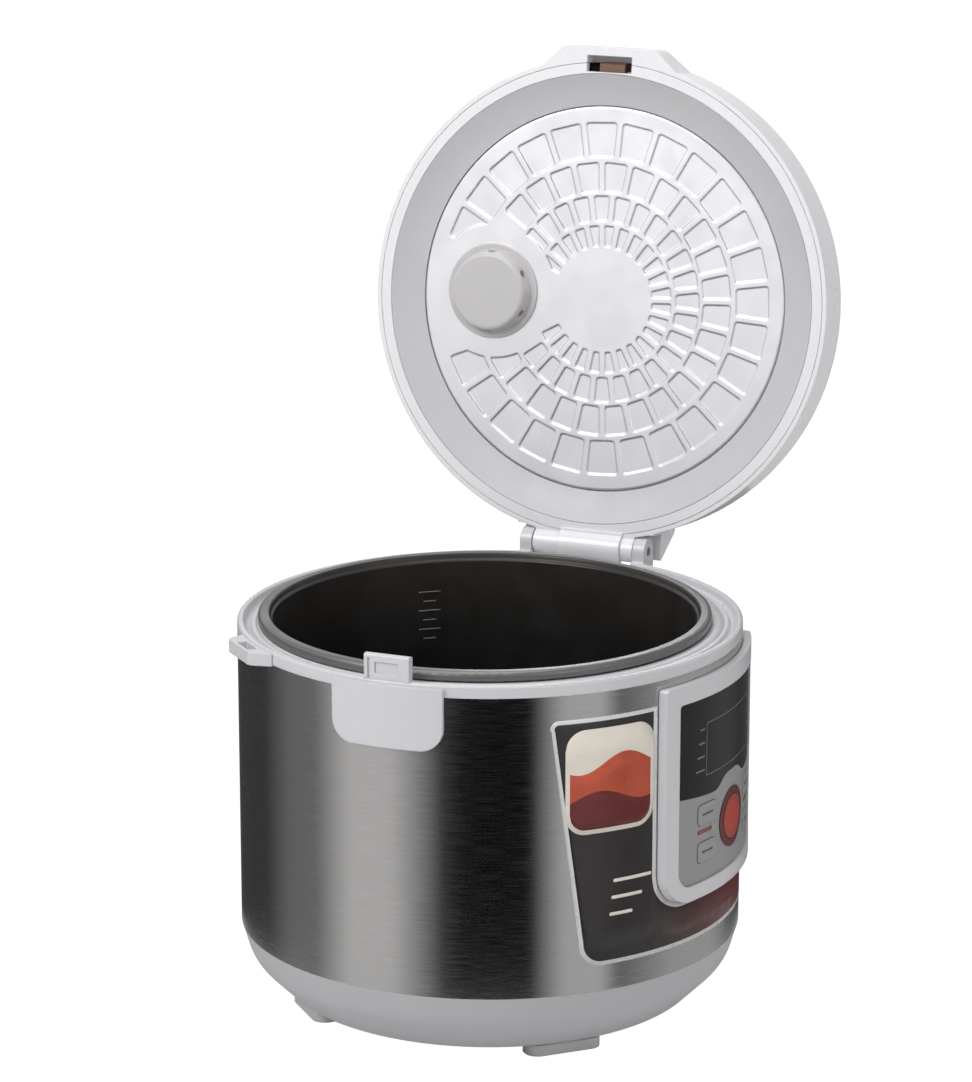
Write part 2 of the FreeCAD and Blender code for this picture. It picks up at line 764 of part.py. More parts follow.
def power_board():
    low = COVER_TOP + BOARD_STAND
    half_x = BOARD_WIDTH / 2
    half_y = BOARD_LENGTH / 2
    return block(BOARD_OFFSET - half_x, BOARD_OFFSET + half_x, -half_y, half_y, low, low + BOARD_SHEET)


def board_components():
    """Relay, transformer and capacitor on the power board."""
    low = COVER_TOP + BOARD_STAND + BOARD_SHEET
    x = BOARD_OFFSET
    relay = block(x - 14, x + 2, -30, -10, low, low + 11)
    transformer = block(x - 16, x + 10, 0, 20, low, low + 13)
    capacitor = rod(5.0, Vector(x + 12, -18, low), Vector(0, 0, 11))
    return Part.makeCompound([relay, transformer, capacitor])


def socket_outline():
    half = SOCKET_WIDTH / 2
    tall = SOCKET_HEIGHT / 2
    cut = SOCKET_CORNER
    return [(-half, -tall), (half, -tall), (half, tall - cut), (half - cut, tall), (-half + cut, tall), (-half, tall - cut)]


def inlet_middle():
    return Vector(0, INLET_FACE, BOWL_FLOOR + INLET_RISE + INLET_HEIGHT / 2)


def power_inlet():
    body = inlet_space(-RUN_GAP, INLET_FACE - INLET_DEPTH, INLET_FACE)
    cavity = prism(socket_outline(), upright, inlet_middle(), Vector(0, -SOCKET_DEPTH, 0))
    return body.cut([cavity] + inlet_blades())


def inlet_blades():
    middle = inlet_middle()
    back = INLET_FACE - INLET_DEPTH - PIN_TAIL
    front = INLET_FACE - SOCKET_DEPTH + PIN_LENGTH
    blades = []
    for x, z in ((-PIN_SPREAD, -PIN_DROP), (0, PIN_DROP), (PIN_SPREAD, -PIN_DROP)):
        low = middle.z + z - PIN_HEIGHT / 2
        blades.append(block(x - PIN_WIDTH / 2, x + PIN_WIDTH / 2, back, front, low, low + PIN_HEIGHT))
    return blades


# Control panel

def panel_outline(half, low, high, low_corner, high_corner):
    return [(-half, low, low_corner), (half, low, low_corner), (half, high, high_corner), (-half, high, high_corner)]


def window_prism(margin):
    """Prism through the panel window, grown by a margin on every side."""
    points = panel_outline(
        WINDOW_HALF + margin,
        WINDOW_BOTTOM - margin,
        WINDOW_TOP + margin,
        WINDOW_CORNER + margin,
        PANEL_TOP_CORNER + margin,
    )
    return prism(points, sideways, Vector(0, 0, 0), Vector(2 * BAND_RADIUS, 0, 0))


def panel_shell(outer, inner):
    return tube(outer, inner, PANEL_BOTTOM - 1, PANEL_TOP + 1)


def panel_frame():
    points = panel_outline(PANEL_WIDTH / 2, PANEL_BOTTOM, PANEL_TOP, PANEL_CORNER, PANEL_TOP_CORNER)
    slab = prism(points, sideways, Vector(0, 0, 0), Vector(2 * BAND_RADIUS, 0, 0))
    frame = slab.common(panel_shell(PANEL_FRONT, BAND_RADIUS + FIT))
    skirt_back = BAND_RADIUS - PANEL_SKIRT_DEPTH
    skirt = window_prism(PANEL_SKIRT_WALL).common(panel_shell(PANEL_FRONT - PANEL_EDGE, skirt_back))
    frame = joined(frame, [skirt]).cut(window_prism(0))
    rear = Vector(PCB_FRONT, 0, 0)
    rib = block(rear.x, rear.x + PCB_RIB, -PCB_HALF_WIDTH, PCB_HALF_WIDTH, WINDOW_TOP - PCB_MARGIN - 3, WINDOW_TOP + 1)
    low_rib = block(
        rear.x,
        rear.x + PCB_RIB,
        -PCB_HALF_WIDTH,
        PCB_HALF_WIDTH,
        WINDOW_BOTTOM - 1,
        WINDOW_BOTTOM + PCB_MARGIN + 3,
    )
    return joined(frame, [rib, low_rib])


def panel_fascia():
    sheet = window_prism(-FIT).common(panel_shell(FASCIA_FRONT, FASCIA_BACK))
    holes = [turned_to(key_prism(rise, RUN_GAP), side * KEY_ANGLE) for side, rise in key_places()]
    centre = Vector(0, 0, PANEL_BOTTOM + START_RISE)
    holes.append(rod(START_RADIUS + RUN_GAP, centre, Vector(2 * BAND_RADIUS, 0, 0)))
    return sheet.cut(holes)


def key_places():
    return [(side, rise) for side in (-1, 1) for rise in (KEY_RISE_LOW, KEY_RISE_HIGH)]


def key_prism(rise, margin):
    half = KEY_WIDTH / 2 + margin
    tall = KEY_HEIGHT / 2 + margin
    z = PANEL_BOTTOM + rise
    corner = KEY_CORNER + margin
    return prism(
        panel_outline(half, z - tall, z + tall, corner, corner),
        sideways,
        Vector(0, 0, 0),
        Vector(2 * BAND_RADIUS, 0, 0),
    )


def panel_key(side, rise):
    front = FASCIA_FRONT + KEY_PROUD
    key = key_prism(rise, 0).common(panel_shell(front, front - KEY_DEPTH))
    return turned_to(key, side * KEY_ANGLE)


def start_button():
    centre = Vector(0, 0, PANEL_BOTTOM + START_RISE)
    front = FASCIA_FRONT + START_PROUD
    stem = rod(START_RADIUS, centre, Vector(2 * BAND_RADIUS, 0, 0))
    return stem.common(panel_shell(front, front - KEY_DEPTH))


def start_ring():
    centre = Vector(0, 0, PANEL_BOTTOM + START_RISE)
    reach = Vector(2 * BAND_RADIUS, 0, 0)
    ring = rod(RING_RADIUS, centre, reach).cut(rod(START_RADIUS + RUN_GAP, centre, reach))
    return ring.common(panel_shell(FASCIA_FRONT + RING_PROUD, FASCIA_FRONT))


def display_module():
    z = PANEL_BOTTOM + DISPLAY_RISE
    half = DISPLAY_WIDTH / 2
    front = math.sqrt(FASCIA_BACK ** 2 - half ** 2) - RUN_GAP
    return block(PCB_FRONT, front, -half, half, z - DISPLAY_HEIGHT / 2, z + DISPLAY_HEIGHT / 2)


def control_board():
    return block(
        PCB_FRONT - PCB_SHEET,
        PCB_FRONT,
        -PCB_HALF_WIDTH,
        PCB_HALF_WIDTH,
        WINDOW_BOTTOM + PCB_MARGIN,
        WINDOW_TOP - PCB_MARGIN,
    )


def key_switches():
    """Push switches on the control board, one behind each key."""
    half = SWITCH_SIDE / 2
    angle = math.radians(KEY_ANGLE)
    back = FASCIA_FRONT + KEY_PROUD - KEY_DEPTH - KEY_TRAVEL - RUN_GAP
    inner = angle - math.asin(half / back)
    outer = angle + math.asin(half / back)
    top = back * math.cos(outer)
    switches = []
    for side, rise in key_places():
        y = side * back * math.sin(angle)
        z = PANEL_BOTTOM + rise
        switches.append(block(PCB_FRONT, top, y - half, y + half, z - half, z + half))
    back = FASCIA_FRONT + START_PROUD - KEY_DEPTH - START_TRAVEL - RUN_GAP
    top = math.sqrt(back ** 2 - half ** 2)
    z = PANEL_BOTTOM + START_RISE
    switches.append(block(PCB_FRONT, top, -half, half, z - half, z + half))
    return Part.makeCompound(switches)


# Hinge hardware

def hinge_pin():
    reach = HINGE_WIDTH + 2 * EAR_GAP + 2 * EAR_THICKNESS
    return rod(PIN_RADIUS, Vector(-reach / 2, HINGE_Y, HINGE_Z), Vector(reach, 0, 0))


def spring_pocket(side):
    start = SPRING_POCKET_OFFSET if side > 0 else -SPRING_POCKET_OFFSET - SPRING_POCKET_LENGTH
    return rod(SPRING_POCKET, Vector(start, HINGE_Y, HINGE_Z), Vector(SPRING_POCKET_LENGTH, 0, 0))


def hinge_springs():
    springs = []
    for side in (-1, 1):
        start = SPRING_POCKET_OFFSET if side > 0 else -SPRING_POCKET_OFFSET - SPRING_POCKET_LENGTH
        length = SPRING_POCKET_LENGTH - 2 * RUN_GAP
        place = Vector(start + RUN_GAP, HINGE_Y, HINGE_Z)
        springs.append(coil(SPRING_RADIUS, SPRING_WIRE, SPRING_TURNS, length, place, Vector(1, 0, 0)))
    return Part.makeCompound(springs)


# Lid

def lid_section(inset):
    """Outside of the lid as a (radius, height) outline, moved inward by an inset."""
    return [
        (0, LID_RIM),
        (LID_RADIUS - inset, LID_RIM),
        (LID_RADIUS - inset, LID_RIM + LID_WALL_HEIGHT - inset, LID_EDGE_CURVE),
        (LID_SHOULDER - inset, LID_RIM + LID_SHOULDER_HEIGHT - inset, LID_SHOULDER_CURVE),
        (0, LID_RIM + LID_CROWN - inset),
    ]


def latch_slot():
    half = TONGUE_WIDTH / 2 + LATCH_SLOT_GAP
    front = TONGUE_FACE + 2 * LATCH_SLOT_GAP
    return block(-half, half, -front, -CATCH_WALL, LID_RIM - 1, TONGUE_TOP + 2 * LATCH_SLOT_GAP)


def lid_bump():
    """Housing on the lid's front edge that takes the catch tongue."""
    wide = BUMP_WIDTH / 2
    face = BUMP_FACE_WIDTH / 2
    root = LID_RADIUS - 10
    front = LID_RADIUS + BUMP_REACH
    plan = [(-wide, -root), (-face, -front, 8.0), (face, -front, 8.0), (wide, -root)]
    bump = prism(plan, level, Vector(0, 0, LID_RIM), Vector(0, 0, BUMP_HEIGHT))
    slope = prism(
        [(-front - 1, LID_RIM + BUMP_HEIGHT - 9), (-front - 1, LID_RIM + BUMP_HEIGHT + 1), (-root + 1, LID_RIM + BUMP_HEIGHT + 1)],
        sideways,
        Vector(-wide, 0, 0),
        Vector(BUMP_WIDTH, 0, 0),
    )
    return bump.cut([slope, disc(LID_INSIDE, LID_RIM - 1, LID_RIM + LID_CROWN)])


def hinge_boss():
    """Rear extension of the lid: a wide fairing above the ears and the knuckle between them."""
    half = HINGE_WIDTH / 2
    wide = BOSS_WIDTH / 2
    root = COLLAR_OPENING - 6
    front = HINGE_Y - EAR_ROUND - BOSS_CLEAR
    under = HINGE_Z + EAR_ROUND + BOSS_CLEAR
    rear = HINGE_Y + EAR_ROUND
    top = LID_RIM + LID_WALL_HEIGHT
    side = [
        (root, LID_RIM),
        (front, LID_RIM),
        (front, under),
        (rear, under, 1.5),
        (LID_RADIUS - LID_EDGE_CURVE / 4, top, 4.0),
        (root, top),
    ]
    fairing = prism(side, sideways, Vector(-wide, 0, 0), Vector(BOSS_WIDTH, 0, 0))
    neck = block(-half, half, root, HINGE_Y, LID_RIM, under + 1)
    knuckle = rod(HINGE_ROUND, Vector(-half, HINGE_Y, HINGE_Z), Vector(HINGE_WIDTH, 0, 0))
    return joined(fairing, [neck, knuckle]).cut(turned(lid_section(LID_WALL)))


def lid_posts():
    post = rod(LID_POST, Vector(lid_post_circle(), 0, FLANGE_TOP), Vector(0, 0, LID_CROWN))
    return around(post, LID_POST_COUNT, 45.0)


def lid_post_circle():
    return PLATE_RADIUS - LINER_FLANGE / 2


def valve_axis(bottom, top, radius):
    return rod(radius, Vector(VALVE_X, 0, bottom), Vector(0, 0, top - bottom))


def spring_stop():
    end = -BOLT_TIP + BOLT_NOSE + BOLT_TAIL + LATCH_SPRING_LENGTH
    half = WEDGE_WIDTH / 2 + 1
    return block(-half, half, end, end + LATCH_STOP, FLANGE_TOP + RUN_GAP, LID_RIM + LID_CROWN)


def lid_cover():
    outside = turned(lid_section(0))
    cover = outside.cut(turned(lid_section(LID_WALL)))
    crown = LID_RIM + LID_CROWN
    socket_low = PLATE_BACK + VALVE_NECK_RISE
    stem = VENT_STEM + RUN_GAP
    inside = [
        valve_axis(socket_low, crown, stem + LID_WALL),
        valve_axis(VENT_SEAT - LID_WALL, crown, VENT_CAP_RADIUS + RUN_GAP + LID_WALL),
        spring_stop(),
    ]
    inside = [piece.common(outside) for piece in inside + lid_posts()]
    cover = joined(cover, inside + [lid_bump(), hinge_boss()])
    half = BUTTON_WIDTH / 2 + RUN_GAP
    low, high = button_span()
    button_hole = block(-half, half, low - RUN_GAP, high + RUN_GAP, LID_RIM + LID_CROWN / 2, crown + 1)
    reach = HINGE_WIDTH + 2
    cuts = [
        valve_axis(socket_low - 1, crown + 1, stem),
        valve_axis(VENT_SEAT, crown + 1, VENT_CAP_RADIUS + RUN_GAP),
        button_hole,
        latch_slot(),
        rod(PIN_RADIUS + PIN_GAP, Vector(-reach / 2, HINGE_Y, HINGE_Z), Vector(reach, 0, 0)),
        spring_pocket(1),
        spring_pocket(-1),
    ]
    return cover.cut(cuts + screw_holes(LID_SCREW_SHANK))


def screw_holes(radius):
    hole = rod(radius, Vector(lid_post_circle(), 0, PLATE_BACK), Vector(0, 0, LID_SCREW_BITE))
    return around(hole, LID_POST_COUNT, 45.0)


def seal_height(radius, lift):
    """Height of the seal's cone at a radius, lifted towards the lid."""
    share = (SEAL_OUTSIDE - radius) / (SEAL_OUTSIDE - SEAL_INSIDE)
    return LID_RIM + lift + share * RIM_DEPTH


def rim_liner():
    """White inner ring of the lid: flat rim, cone behind the seal and plate flange."""
    cone = SEAL_THICKNESS + FIT
    inner = PLATE_RADIUS - LINER_FLANGE
    outer = SEAL_OUTSIDE + FIT
    rim_top = LID_RIM + cone + RIM_SHEET
    ring = turned([
        (RIM_OUTSIDE, LID_RIM),
        (RIM_OUTSIDE, rim_top),
        (outer, rim_top),
        (PLATE_RADIUS + RIM_SHEET, FLANGE_TOP),
        (inner, FLANGE_TOP),
        (inner, PLATE_BACK),
        (PLATE_RADIUS, PLATE_BACK),
        (PLATE_RADIUS, seal_height(SEAL_INSIDE, cone)),
        (outer, seal_height(outer, cone)),
        (outer, LID_RIM),
    ])
    half = BOLT_WIDTH / 2 + RUN_GAP
    channel = block(-half, half, -BOLT_TIP, -BOLT_TIP + BOLT_NOSE + BOLT_TRAVEL + RUN_GAP, BOLT_FOOT - RUN_GAP, FLANGE_TOP + 1)
    heads = rod(LID_SCREW_HEAD, Vector(lid_post_circle(), 0, PLATE_BACK), Vector(0, 0, LID_SCREW_HEAD_HEIGHT))
    cuts = [channel, latch_slot()] + around(heads, LID_POST_COUNT, 45.0) + screw_holes(LID_SCREW_SHANK)
    return ring.cut(cuts)


def lid_screws():
    base = Vector(lid_post_circle(), 0, PLATE_BACK)
    head = rod(LID_SCREW_HEAD, base, Vector(0, 0, LID_SCREW_HEAD_HEIGHT))
    shank = rod(LID_SCREW_SHANK, base, Vector(0, 0, LID_SCREW_BITE))
    return Part.makeCompound(around(joined(head, [shank]), LID_POST_COUNT, 45.0))


def lid_seal():
    """Soft ring between rim and plate, its face slightly hollow."""
    middle = (SEAL_INSIDE + SEAL_OUTSIDE) / 2
    edges = []
    low_out = Vector(SEAL_OUTSIDE, 0, seal_height(SEAL_OUTSIDE, 0))
    low_in = Vector(SEAL_INSIDE, 0, seal_height(SEAL_INSIDE, 0))
    hollow = Vector(middle, 0, seal_height(middle, SEAL_SAG))
    high_in = low_in + Vector(0, 0, SEAL_THICKNESS)
    high_out = low_out + Vector(0, 0, SEAL_THICKNESS)
    edges.append(Part.Arc(low_out, hollow, low_in).toShape())
    edges.append(Part.makeLine(low_in, high_in))
    edges.append(Part.makeLine(high_in, high_out))
    edges.append(Part.makeLine(high_out, low_out))
    return Part.Face(Part.Wire(edges)).revolve(Vector(0, 0, 0), Vector(0, 0, 1), 360)


def pad_tools():
    """Pressed pads of the inner plate: staggered rows, cut short round the valve."""
    pitch = 2 * math.pi / PAD_COUNT
    clear = valve_axis(PLATE_FACE - 1, PLATE_BACK, PAD_CLEAR)
    tools = []
    for row, (outer, inner) in enumerate(PAD_ROWS):
        wide = outer * math.sin(pitch / 2) - PAD_RIB / 2
        narrow = inner * math.sin(pitch / 2) - PAD_RIB / 2
        corner = min(PAD_CORNER, 0.5 * narrow)
        shape = [(inner, -narrow, corner), (outer, -wide, corner), (outer, wide, corner), (inner, narrow, corner)]
        pad = prism(shape, level, Vector(0, 0, PLATE_FACE - PAD_DEPTH), Vector(0, 0, 2 * PAD_DEPTH))
        shift = 0.75 - 0.5 * (row % 2)
        for step in range(PAD_COUNT):
            placed = turned_to(pad, math.degrees(pitch) * (step + shift))
            trimmed = placed.cut(clear)
            if trimmed.Volume > PAD_LEAST_SHARE * pad.Volume:
                tools.append(trimmed)
    return tools


def inner_plate():
    """Pressed aluminium plate under the lid."""
    plate = turned([
        (0, PLATE_FACE),
        (PLATE_RADIUS - FIT, PLATE_FACE, PLATE_EDGE),
        (PLATE_RADIUS - FIT, PLATE_BACK),
        (0, PLATE_BACK),
    ])
    return plate.cut(pad_tools() + [valve_axis(PLATE_FACE - 1, PLATE_BACK + 1, VALVE_NECK + FIT)])


# Steam valve

def valve_turned(points):
    shape = turned(points)
    shape.translate(Vector(VALVE_X, 0, 0))
    return shape


def valve_inner_cap():
    """Cap under the plate with steam ports round its side."""
    face = PLATE_FACE - VALVE_CAP_HEIGHT
    flange = PLATE_FACE - VALVE_CAP_FLANGE
    top = PLATE_BACK + VALVE_NECK_RISE - RUN_GAP
    waist = VALVE_CAP_FACE + 2.0
    cap = valve_turned([
        (0, face),
        (VALVE_CAP_FACE, face, 2.4),
        (waist, flange),
        (VALVE_CAP_BASE, flange, 0.6),
        (VALVE_CAP_BASE, PLATE_FACE),
        (VALVE_NECK, PLATE_FACE),
        (VALVE_NECK, top),
        (VALVE_NECK - VALVE_CAP_WALL, top),
        (VALVE_NECK - VALVE_CAP_WALL, PLATE_FACE),
        (VALVE_CAP_FACE - VALVE_CAP_WALL, face + 3 * VALVE_CAP_WALL),
        (VALVE_CAP_FACE - VALVE_CAP_WALL, face + VALVE_CAP_WALL),
        (0, face + VALVE_CAP_WALL),
    ])
    port = rod(VALVE_PORT_RADIUS, Vector(VALVE_CAP_FACE - 4, 0, PLATE_FACE - VALVE_CAP_HEIGHT / 2), Vector(8, 0, 0))
    ports = []
    for placed in around(port, VALVE_PORTS, 30.0):
        placed.translate(Vector(VALVE_X, 0, 0))
        ports.append(placed)
    return cap.cut(ports)


def valve_grommet():
    return valve_turned([
        (VALVE_NECK + FIT, PLATE_BACK),
        (VALVE_NECK + GROMMET_WIDTH, PLATE_BACK, 0.6),
        (VALVE_NECK + GROMMET_WIDTH, PLATE_BACK + VALVE_NECK_RISE - RUN_GAP, 0.6),
        (VALVE_NECK + FIT, PLATE_BACK + VALVE_NECK_RISE - RUN_GAP),
    ])


def steam_vent():
    """Pull-out steam valve on top of the lid: slotted cap on a hollow stem."""
    seat = VENT_SEAT + RUN_GAP
    top = seat + VENT_CAP_HEIGHT
    low = PLATE_BACK + VALVE_NECK_RISE + RUN_GAP
    bore = VENT_STEM - VENT_STEM_WALL
    vent = valve_turned([
        (bore, low),
        (VENT_STEM, low),
        (VENT_STEM, seat),
        (VENT_CAP_RADIUS, seat),
        (VENT_CAP_RADIUS, top, 3.5),
        (0, top + 1.0),
        (0, top - VENT_CAP_WALL),
        (bore, top - VENT_CAP_WALL),
    ])
    half = VENT_SLOT_LENGTH / 2
    slots = []
    for step in range(VENT_SLOTS):
        y = (step - (VENT_SLOTS - 1) / 2) * 2.4 * VENT_SLOT_WIDTH
        low_y = y - VENT_SLOT_WIDTH / 2
        slots.append(block(VALVE_X - half, VALVE_X + half, low_y, low_y + VENT_SLOT_WIDTH, top - VENT_CAP_WALL - 1, top + 2))
    keep = valve_axis(low, top + 2, bore)
    return vent.cut([slot.common(keep) for slot in slots])


# Latch

def button_span():
    high = -BUTTON_MIDDLE + BUTTON_LENGTH / 2
    return high - BUTTON_LENGTH, high


def ramp_line():
    """Where the bolt's 45 degree ramp starts, in (y, z)."""
    return -BOLT_TIP + BOLT_NOSE + BOLT_TAIL - 5.0 - RAMP_HEIGHT, BOLT_TOP


def latch_bolt():
    tip = -BOLT_TIP
    heel = tip + BOLT_NOSE
    tail = heel + BOLT_TAIL
    ramp_y, ramp_z = ramp_line()
    shape = [
        (tip, BOLT_FOOT + 1.4),
        (tip + 1.4, BOLT_FOOT),
        (heel, BOLT_FOOT),
        (heel, FLANGE_TOP + RUN_GAP),
        (tail, FLANGE_TOP + RUN_GAP),
        (tail, BOLT_TOP + RAMP_HEIGHT),
        (ramp_y + RAMP_HEIGHT, BOLT_TOP + RAMP_HEIGHT),
        (ramp_y, ramp_z),
        (tip, BOLT_TOP),
    ]
    return prism(shape, sideways, Vector(-BOLT_WIDTH / 2, 0, 0), Vector(BOLT_WIDTH, 0, 0))


def release_button():
    """Push button in the lid whose 45 degree wedge draws the bolt back."""
    half = BUTTON_WIDTH / 2
    low, high = button_span()
    crown = LID_RIM + LID_CROWN
    corner = 4.0
    plan = [(-half, low, corner), (half, low, corner), (half, high, corner), (-half, high, corner)]
    foot = LID_RIM + LID_WALL_HEIGHT - BUTTON_DEPTH
    key = prism(plan, level, Vector(0, 0, foot), Vector(0, 0, crown - foot))
    key = key.common(turned(lid_section(-BUTTON_PROUD)))
    ramp_y, ramp_z = ramp_line()
    gap = 2 * RUN_GAP
    tip_z = BOLT_TOP + BOLT_TRAVEL + RUN_GAP
    tip_y = ramp_y + (tip_z - gap - ramp_z)
    wedge = prism(
        [
            (tip_y, tip_z),
            (tip_y + WEDGE_LENGTH, tip_z + WEDGE_LENGTH),
            (tip_y + WEDGE_LENGTH, foot + 1),
            (tip_y, foot + 1),
        ],
        sideways,
        Vector(-WEDGE_WIDTH / 2, 0, 0),
        Vector(WEDGE_WIDTH, 0, 0),
    )
    return joined(key, [wedge])


def latch_spring():
    tail = -BOLT_TIP + BOLT_NOSE + BOLT_TAIL
    height = BOLT_TOP + RAMP_HEIGHT - LATCH_SPRING_RADIUS - LATCH_WIRE
    return coil(LATCH_SPRING_RADIUS, LATCH_WIRE, LATCH_TURNS, LATCH_SPRING_LENGTH, Vector(0, tail, height), Vector(0, 1, 0))


def knuckle_cover():
    """Raised cover that wraps the middle of the hinge knuckle, seen when the lid is open."""
    left = KNUCKLE_COVER_SHIFT - KNUCKLE_COVER_WIDTH / 2
    right = left + KNUCKLE_COVER_WIDTH
    front = KNUCKLE_COVER_FRONT - KNUCKLE_COVER_BORDER
    low = LID_RIM - KNUCKLE_COVER_THICKNESS
    plate = block(left, right, front, HINGE_Y, low, LID_RIM)
    start = Vector(left, HINGE_Y, HINGE_Z)
    wrap = rod(HINGE_ROUND + KNUCKLE_COVER_ROUND, start, Vector(KNUCKLE_COVER_WIDTH, 0, 0))
    below = block(left, right, front, HINGE_Y + 2 * HINGE_ROUND, HINGE_Z - 2 * HINGE_ROUND, LID_RIM)
    cover = joined(plate, [wrap.common(below)])
    inner = KNUCKLE_COVER_BORDER
    recess = block(left + inner, right - inner, front + inner, HINGE_Y - HINGE_ROUND + 2, low - 1, low + 0.6)
    knuckle = rod(HINGE_ROUND + FIT, start - Vector(1, 0, 0), Vector(KNUCKLE_COVER_WIDTH + 2, 0, 0))
    return cover.cut([recess, knuckle])


def build():
    body = {
        "base_bowl": base_bowl(),
        "bottom_cover": bottom_cover(),
        "cover_screws": cover_screws(),
        "foot_pads": foot_pads(),
        "steel_band": steel_band(),
        "top_collar": top_collar(),
        "catch_tongue": catch_tongue(),
        "ladle_lug": ladle_lug(),
        "well_liner": well_liner(),
        "heating_plate": heating_plate(),
        "heater_posts": heater_posts(),
        "heating_coil": heating_coil(),
        "thermal_fuse": thermal_fuse(),
        "sensor_holder": sensor_holder(),
        "sensor_spring": sensor_spring(),
        "sensor_cup": sensor_cup(),
        "power_board": power_board(),
        "board_components": board_components(),
        "power_inlet": power_inlet(),
        "inlet_pins": Part.makeCompound(inlet_blades()),
        "panel_frame": panel_frame(),
        "panel_fascia": panel_fascia(),
        "display_module": display_module(),
        "control_board": control_board(),
        "key_switches": key_switches(),
        "start_ring": start_ring(),
        "start_button": start_button(),
        "hinge_pin": hinge_pin(),
        "hinge_springs": hinge_springs(),
        "inner_pot": inner_pot(),
    }
    names = ("key_left_low", "key_left_high", "key_right_low", "key_right_high")
    for name, (side, rise) in zip(names, key_places()):
        body[name] = panel_key(side, rise)
    lid = {
        "lid_cover": lid_cover(),
        "rim_liner": rim_liner(),
        "lid_screws": lid_screws(),
        "lid_seal": lid_seal(),
        "inner_plate": inner_plate(),
        "valve_inner_cap": valve_inner_cap(),
        "valve_grommet": valve_grommet(),
        "steam_vent": steam_vent(),
        "release_button": release_button(),
        "latch_bolt": latch_bolt(),
        "latch_spring": latch_spring(),
        "knuckle_cover": knuckle_cover(),
    }
    pieces = dict(body)
    for name, shape in lid.items():
        pieces[name] = opened(shape)
    return pieces


os.makedirs("parts", exist_ok=True)
for node, shape in build().items():
    shape.exportStep("parts/" + node + ".step")
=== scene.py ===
import json
import math

import bpy
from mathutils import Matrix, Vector

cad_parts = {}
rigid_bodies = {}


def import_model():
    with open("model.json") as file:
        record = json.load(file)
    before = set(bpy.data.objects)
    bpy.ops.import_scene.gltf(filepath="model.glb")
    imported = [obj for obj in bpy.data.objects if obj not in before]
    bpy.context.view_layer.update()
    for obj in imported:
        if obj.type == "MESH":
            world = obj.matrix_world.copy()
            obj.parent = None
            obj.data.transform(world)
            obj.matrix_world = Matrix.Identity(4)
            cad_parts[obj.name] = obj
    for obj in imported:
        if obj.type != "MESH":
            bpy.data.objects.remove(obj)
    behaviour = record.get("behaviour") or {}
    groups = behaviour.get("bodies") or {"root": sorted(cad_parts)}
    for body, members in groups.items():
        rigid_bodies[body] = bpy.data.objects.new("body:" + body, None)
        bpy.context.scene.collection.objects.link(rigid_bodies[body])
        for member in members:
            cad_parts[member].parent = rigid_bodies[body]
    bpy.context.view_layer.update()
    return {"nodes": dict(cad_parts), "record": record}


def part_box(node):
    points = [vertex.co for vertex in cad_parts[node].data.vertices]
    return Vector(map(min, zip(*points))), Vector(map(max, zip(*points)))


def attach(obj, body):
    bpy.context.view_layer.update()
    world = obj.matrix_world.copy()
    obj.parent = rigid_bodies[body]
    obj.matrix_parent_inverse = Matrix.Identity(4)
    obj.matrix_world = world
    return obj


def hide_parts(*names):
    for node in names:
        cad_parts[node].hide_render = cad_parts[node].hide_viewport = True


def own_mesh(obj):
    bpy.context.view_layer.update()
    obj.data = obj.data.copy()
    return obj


# Looks of the open multicooker. Lengths are in metres, in the frame of the solids:
# floor at z = 0, body axis along Z, catch towards -Y, hinge at +Y, panel towards +X.

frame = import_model()
nodes = frame["nodes"]
record = frame["record"]

MM = 0.001

# Camera, fitted to the outlines of the photograph
IMAGE_WIDTH = 972
IMAGE_HEIGHT = 1082
VIEW_AZIMUTH = math.radians(23.1)
VIEW_ELEVATION = math.radians(14.72)
VIEW_DISTANCE = 2.2
VIEW_SIDE = -2.2 * MM
VIEW_HEIGHT = 250.83 * MM
VIEW_FAR = 50.0
PIXELS_PER_METRE = 1880.0
SENSOR_WIDTH = 36.0

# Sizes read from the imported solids
BAND_RADIUS = -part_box("steel_band")[0].x
FASCIA_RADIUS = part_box("panel_fascia")[1].x
PANEL_LOW, PANEL_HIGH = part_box("panel_frame")
DISPLAY_LOW, DISPLAY_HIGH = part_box("display_module")
START_LOW, START_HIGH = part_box("start_button")
START_MIDDLE = (START_LOW.z + START_HIGH.z) / 2
POT_LOW, POT_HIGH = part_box("inner_pot")
POT_MIDDLE = (POT_LOW.x + POT_HIGH.x) / 2
POT_RIM_RADIUS = (POT_HIGH.x - POT_LOW.x) / 2

# Printed sheets and how far they stand off the surface or off each other
SHEET_DEPTH = 0.05 * MM
SHEET_STEP = 0.06 * MM
FILM_LIFT = 0.10 * MM
PRINT_LIFT = 0.08 * MM

# Range that most of a noise lies in
NOISE_LOW = 0.3
NOISE_HIGH = 0.7

# Strokes of the brushed steel, by the turn round the body and by height
STROKES_ROUND = 0.9
STROKES_UP = 260.0

# Silver field of the panel film, bowed at the sides and arched over the start button
SILVER_EDGE = 134.5 * MM
SILVER_BOW = 3.0 * MM
SILVER_BOW_REACH = 50.0 * MM
SILVER_ARCH = 7.0 * MM
SILVER_ARCH_REACH = 15.5 * MM
SILVER_BLUR = 0.2 * MM

# Radii between which the start button's colour changes
RED_CORE = 7.0 * MM
RED_EDGE = 11.5 * MM

# Outline of the display and the marks beside it
LINE = 0.55 * MM
OUTLINE_DROP = 1.5 * MM
OUTLINE_INSET = 2.5 * MM
MARK_ROWS = 4
MARK_DROP = 3.0 * MM
MARK_PITCH = 7.4 * MM
MARK_GAP = 2.0 * MM
MARK_REACH = 4.0 * MM
MARK_GROWTH = 1.2 * MM
MARK_HALF_HEIGHT = 0.5 * MM
BAR_COLUMN = 1.5 * MM
BAR_LEAST_COLUMNS = 2

